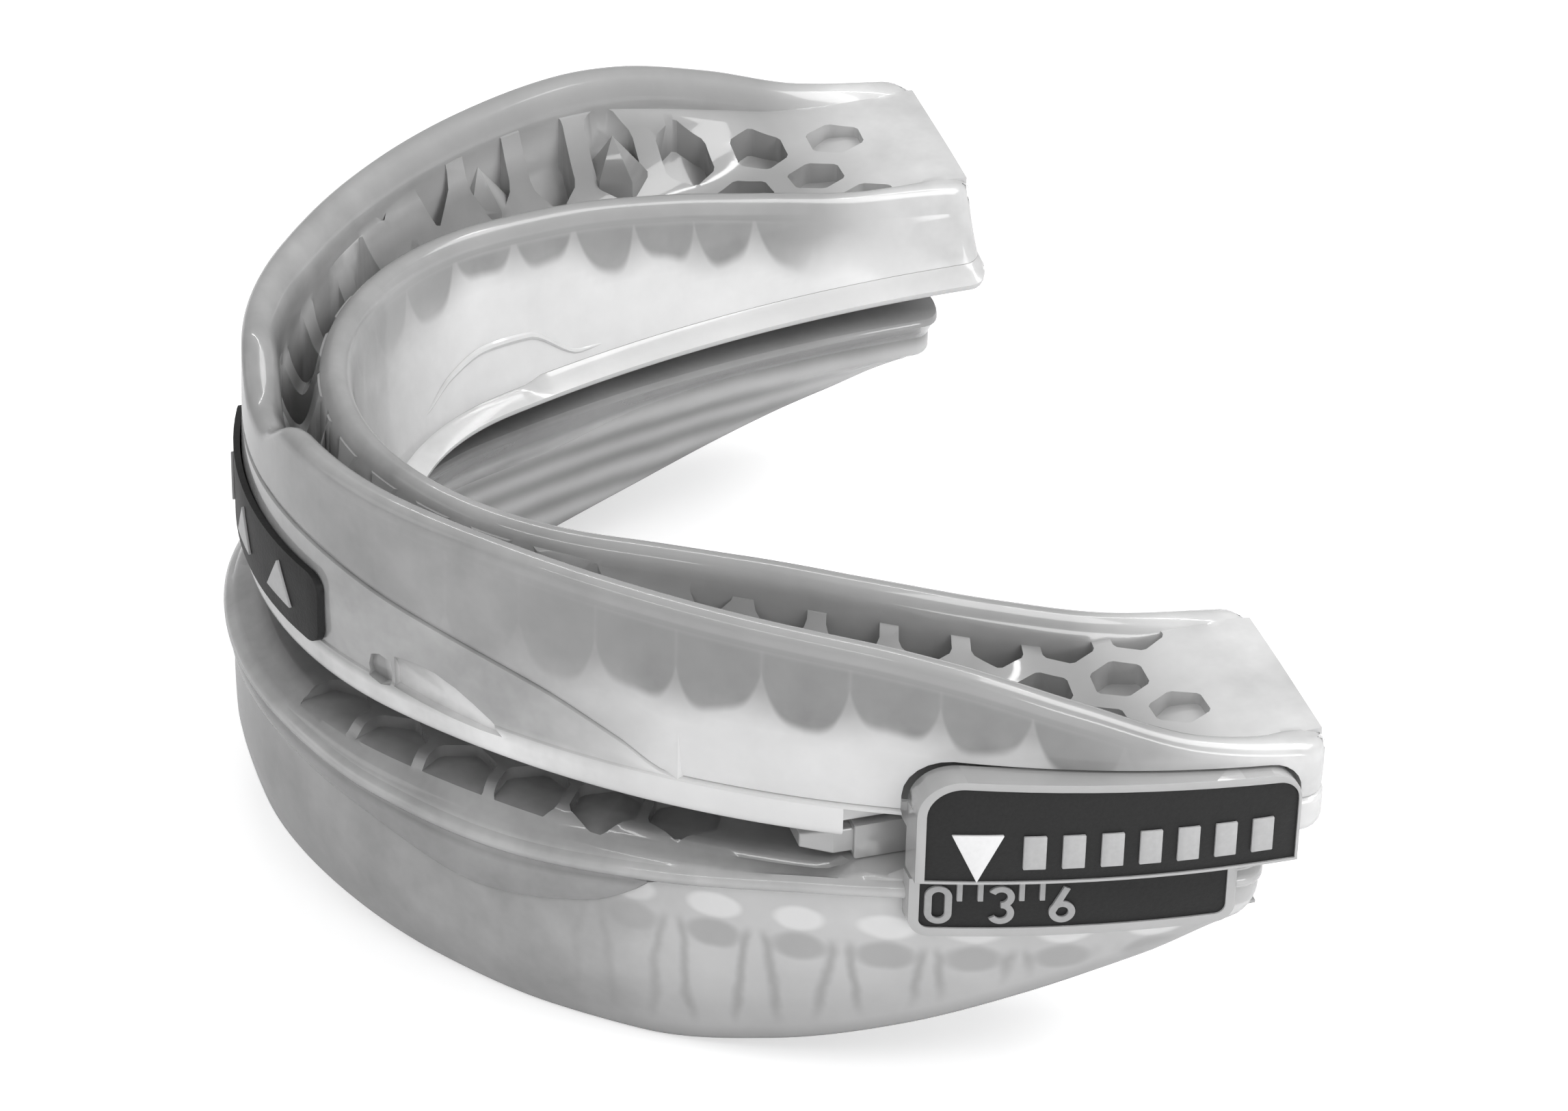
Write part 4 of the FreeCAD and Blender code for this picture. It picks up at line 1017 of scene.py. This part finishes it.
def frosted(name, rough, clear, tone=None, pattern=None):
    """Cloudy clear plastic: mottled, wavy from moulding, with painted shade at edges seen at a
    grazing angle.
    """
    material, tree, shader = principled(name)
    cloud = noise(tree, 190, 4, 0.6)
    fine = noise(tree, 2400, 4)
    if tone is None:
        # the tone attribute carries the painted light and shade set per vertex
        value = attribute(tree, "tone")
        mottle = times(tree, span(tree, cloud, -0.55, 0.5), attribute(tree, "haze"))
        value = times(tree, value, maths(tree, "ADD", mottle, 1.0))
    else:
        value = times(tree, span(tree, cloud, 0.85, 1.1), tone)
    if pattern:
        value = pattern(tree, value)
    # painted shade: darker where the surface turns away from the view
    facing = tree.nodes.new("ShaderNodeLayerWeight")
    facing.inputs["Blend"].default_value = 0.5
    edge = maths(tree, "POWER", facing.outputs["Facing"], 2.5)
    value = times(tree, value, maths(tree, "MULTIPLY_ADD", edge, -0.5, 1.0))
    body = tree.nodes.new("ShaderNodeCombineColor")
    for channel in body.inputs:
        tree.links.new(value, channel)
    tree.links.new(body.outputs["Color"], shader.inputs["Base Color"])
    tree.links.new(span(tree, cloud, rough - 0.06, rough + 0.1), shader.inputs["Roughness"])
    for socket, amount in (("IOR", 1.47), ("Coat Weight", 0.8), ("Coat Roughness", 0.06),
                           ("Transmission Weight", clear)):
        shader.inputs[socket].default_value = amount
    height = maths(tree, "MULTIPLY_ADD", fine, 0.06, noise(tree, 130, 2))
    bumped(tree, shader, height, 0.00035, 0.3)
    return material


def dark_plastic():
    material, tree, shader = principled("satin_charcoal")
    grain = noise(tree, 5200, 5)
    patch = noise(tree, 500, 2)
    tree.links.new(mix(tree, grain, grey(0.015), grey(0.024)), shader.inputs["Base Color"])
    shader.inputs["Specular IOR Level"].default_value = 0.25
    tree.links.new(span(tree, patch, 0.42, 0.56), shader.inputs["Roughness"])
    bumped(tree, shader, grain, 0.00006, 0.35)
    return material


def pale_mark(name, low, high):
    material, tree, shader = principled(name)
    grain = noise(tree, 3500, 4)
    tree.links.new(mix(tree, grain, grey(low), grey(high)), shader.inputs["Base Color"])
    tree.links.new(span(tree, noise(tree, 900, 2), 0.35, 0.5), shader.inputs["Roughness"])
    bumped(tree, shader, grain, 0.00005, 0.3)
    return material


upper_lining_material = frosted("frosted_lining", 0.3, 0.22, pattern=columns)
lower_lining_material = frosted("frosted_lower_lining", 0.3, 0.22, pattern=painted_lower_cell_light_and_shade)
shell_material = frosted("clear_shell", 0.2, 0.2)
rim_material = frosted("polished_rim", 0.16, 0.25, 0.62)
dark_material = dark_plastic()
mark_material = pale_mark("raised_marks", 0.42, 0.52)
arrow_material = pale_mark("white_pointer", 0.8, 0.9)
scale_material = pale_mark("grey_numerals", 0.32, 0.42)


def dress(obj, material, angle=35):
    obj.data.materials.clear()
    obj.data.materials.append(material)
    obj.data.polygons.foreach_set("use_smooth", [True] * len(obj.data.polygons))
    obj.data.set_sharp_from_angle(angle=math.radians(angle))
    return obj


for piece, material, body, nodes, slot in (
        (upper_shell, shell_material, "upper_tray", ["upper_frame"], "clear_frame"),
        (upper_lining_piece, upper_lining_material, "upper_tray", ["upper_liner"], "frosted_liner"),
        (lower_shell, shell_material, "lower_tray", ["lower_frame"], "clear_frame"),
        (lower_lining_piece, lower_lining_material, "lower_tray", ["lower_liner"],
         "frosted_liner")):
    dress(piece, material)
    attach(piece, body)
    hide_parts(*nodes)

FINISH = {"front_tag": (dark_material, 0.1), "tag_mark": (mark_material, 0.04),
          "slide_rail": (rim_material, 0.12), "squeeze_tab": (rim_material, 0.12),
          "tab_spring": (rim_material, 0.04), "pawl": (rim_material, 0.05),
          "tab_inlay": (dark_material, 0.05), "tab_arrow": (arrow_material, 0.04),
          "tab_grip": (mark_material, 0.05), "scale_holder": (rim_material, 0.12),
          "scale_plate": (dark_material, 0.05), "scale_marks": (scale_material, 0.03)}
for node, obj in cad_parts.items():
    kind = node.replace("_left", "").replace("_right", "")
    if kind not in FINISH:
        continue
    material, width = FINISH[kind]
    obj.data.materials.clear()
    obj.data.materials.append(material)
    weld = obj.modifiers.new("weld", "WELD")
    weld.merge_threshold = 1e-6
    bevel = obj.modifiers.new("soft edges", "BEVEL")
    bevel.width = width * MM
    bevel.segments = 2
    bevel.limit_method = "ANGLE"
    bevel.angle_limit = math.radians(40)


# Springs behind the tabs: copies of the CAD springs, fixed to the upper tray
# -----------------------

bpy.context.view_layer.update()
ready = bpy.context.evaluated_depsgraph_get()
for side, joint in (("left", "squeeze_left"), ("right", "squeeze_right")):
    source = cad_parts["tab_spring_" + side]
    leaf = bpy.data.meshes.new_from_object(source.evaluated_get(ready))
    spring = placed("bowed_spring_" + side, leaf)
    spring.matrix_world = source.matrix_world
    low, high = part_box("tab_spring_" + side)
    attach(spring, "upper_tray")
    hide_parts("tab_spring_" + side)
    foot = (low[0] if side == "left" else high[0], (low[1] + high[1]) / 2, (low[2] + high[2]) / 2)
    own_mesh(spring)


# Room, lights and camera --------------------------------------------------------------------------

def area_light(name, place, target, size, size_y, power):
    data = bpy.data.lights.new(name, "AREA")
    data.shape = "RECTANGLE"
    data.size, data.size_y = size, size_y
    data.energy = power
    light = placed(name, data)
    light.location = place
    light.rotation_euler = (Vector(target) - Vector(place)).to_track_quat("-Z", "Y").to_euler()


FLOOR = 2500
corners = ((-FLOOR, -FLOOR), (FLOOR, -FLOOR), (FLOOR, FLOOR), (-FLOOR, FLOOR))
floor = new_object("floor", [(x, y, -0.05) for x, y in corners], [(0, 1, 2, 3)])
floor_material, floor_tree, floor_shader = principled("pale_floor")
floor_tree.links.new(mix(floor_tree, noise(floor_tree, 30, 3), grey(0.86), grey(0.9)),
                     floor_shader.inputs["Base Color"])
floor_shader.inputs["Roughness"].default_value = 0.7
seen = floor_tree.nodes.new("ShaderNodeLightPath")
floor_shader.inputs["Emission Color"].default_value = (1, 1, 1, 1)
floor_tree.links.new(times(floor_tree, seen.outputs["Is Camera Ray"], 0.5),
                     floor_shader.inputs["Emission Strength"])
floor.data.materials.append(floor_material)

world = bpy.data.worlds.new("studio")
world.use_nodes = True
world.node_tree.nodes["Background"].inputs["Color"].default_value = (1.0, 1.0, 1.0, 1)
world.node_tree.nodes["Background"].inputs["Strength"].default_value = 0.59
bpy.context.scene.world = world

MIDDLE = (0, 0, 0.014)
area_light("key", (0.10, 0.26, 0.34), MIDDLE, 0.30, 0.20, 0.9)
area_light("side", (0.42, 0.12, 0.10), MIDDLE, 0.20, 0.08, 0.35)
area_light("front", (-0.05, -0.42, 0.20), MIDDLE, 0.25, 0.2, 0.12)
area_light("far strip", (-0.16, 0.12, 0.36), MIDDLE, 0.40, 0.02, 0.38)
area_light("near strip", (0.24, -0.22, 0.40), MIDDLE, 0.40, 0.02, 0.22)

EYE, AIM = Vector((261.63, -76.54, 194.75)), Vector((2.55, 5.51, 13.79))
ROLL, FOCAL_LENGTH = 1.38, 140.44
look = (AIM - EYE).normalized()
level = look.cross(Vector((0, 0, 1))).normalized()
upright = level.cross(look)
turn = math.radians(ROLL)
side_way = level * math.cos(turn) + upright * math.sin(turn)
up_way = upright * math.cos(turn) - level * math.sin(turn)
camera_data = bpy.data.cameras.new("camera")
camera_data.sensor_width = 36.0
camera_data.lens = FOCAL_LENGTH
camera_data.clip_start = 0.01
camera_data.clip_end = 20.0
camera = placed("camera", camera_data)
camera.location = EYE * MM
camera.rotation_euler = Matrix((side_way, up_way, -look)).transposed().to_euler()
bpy.context.scene.camera = camera
bpy.context.scene.view_settings.view_transform = "Standard"
bpy.context.scene.cycles.max_bounces = 8
bpy.context.scene.cycles.diffuse_bounces = 3
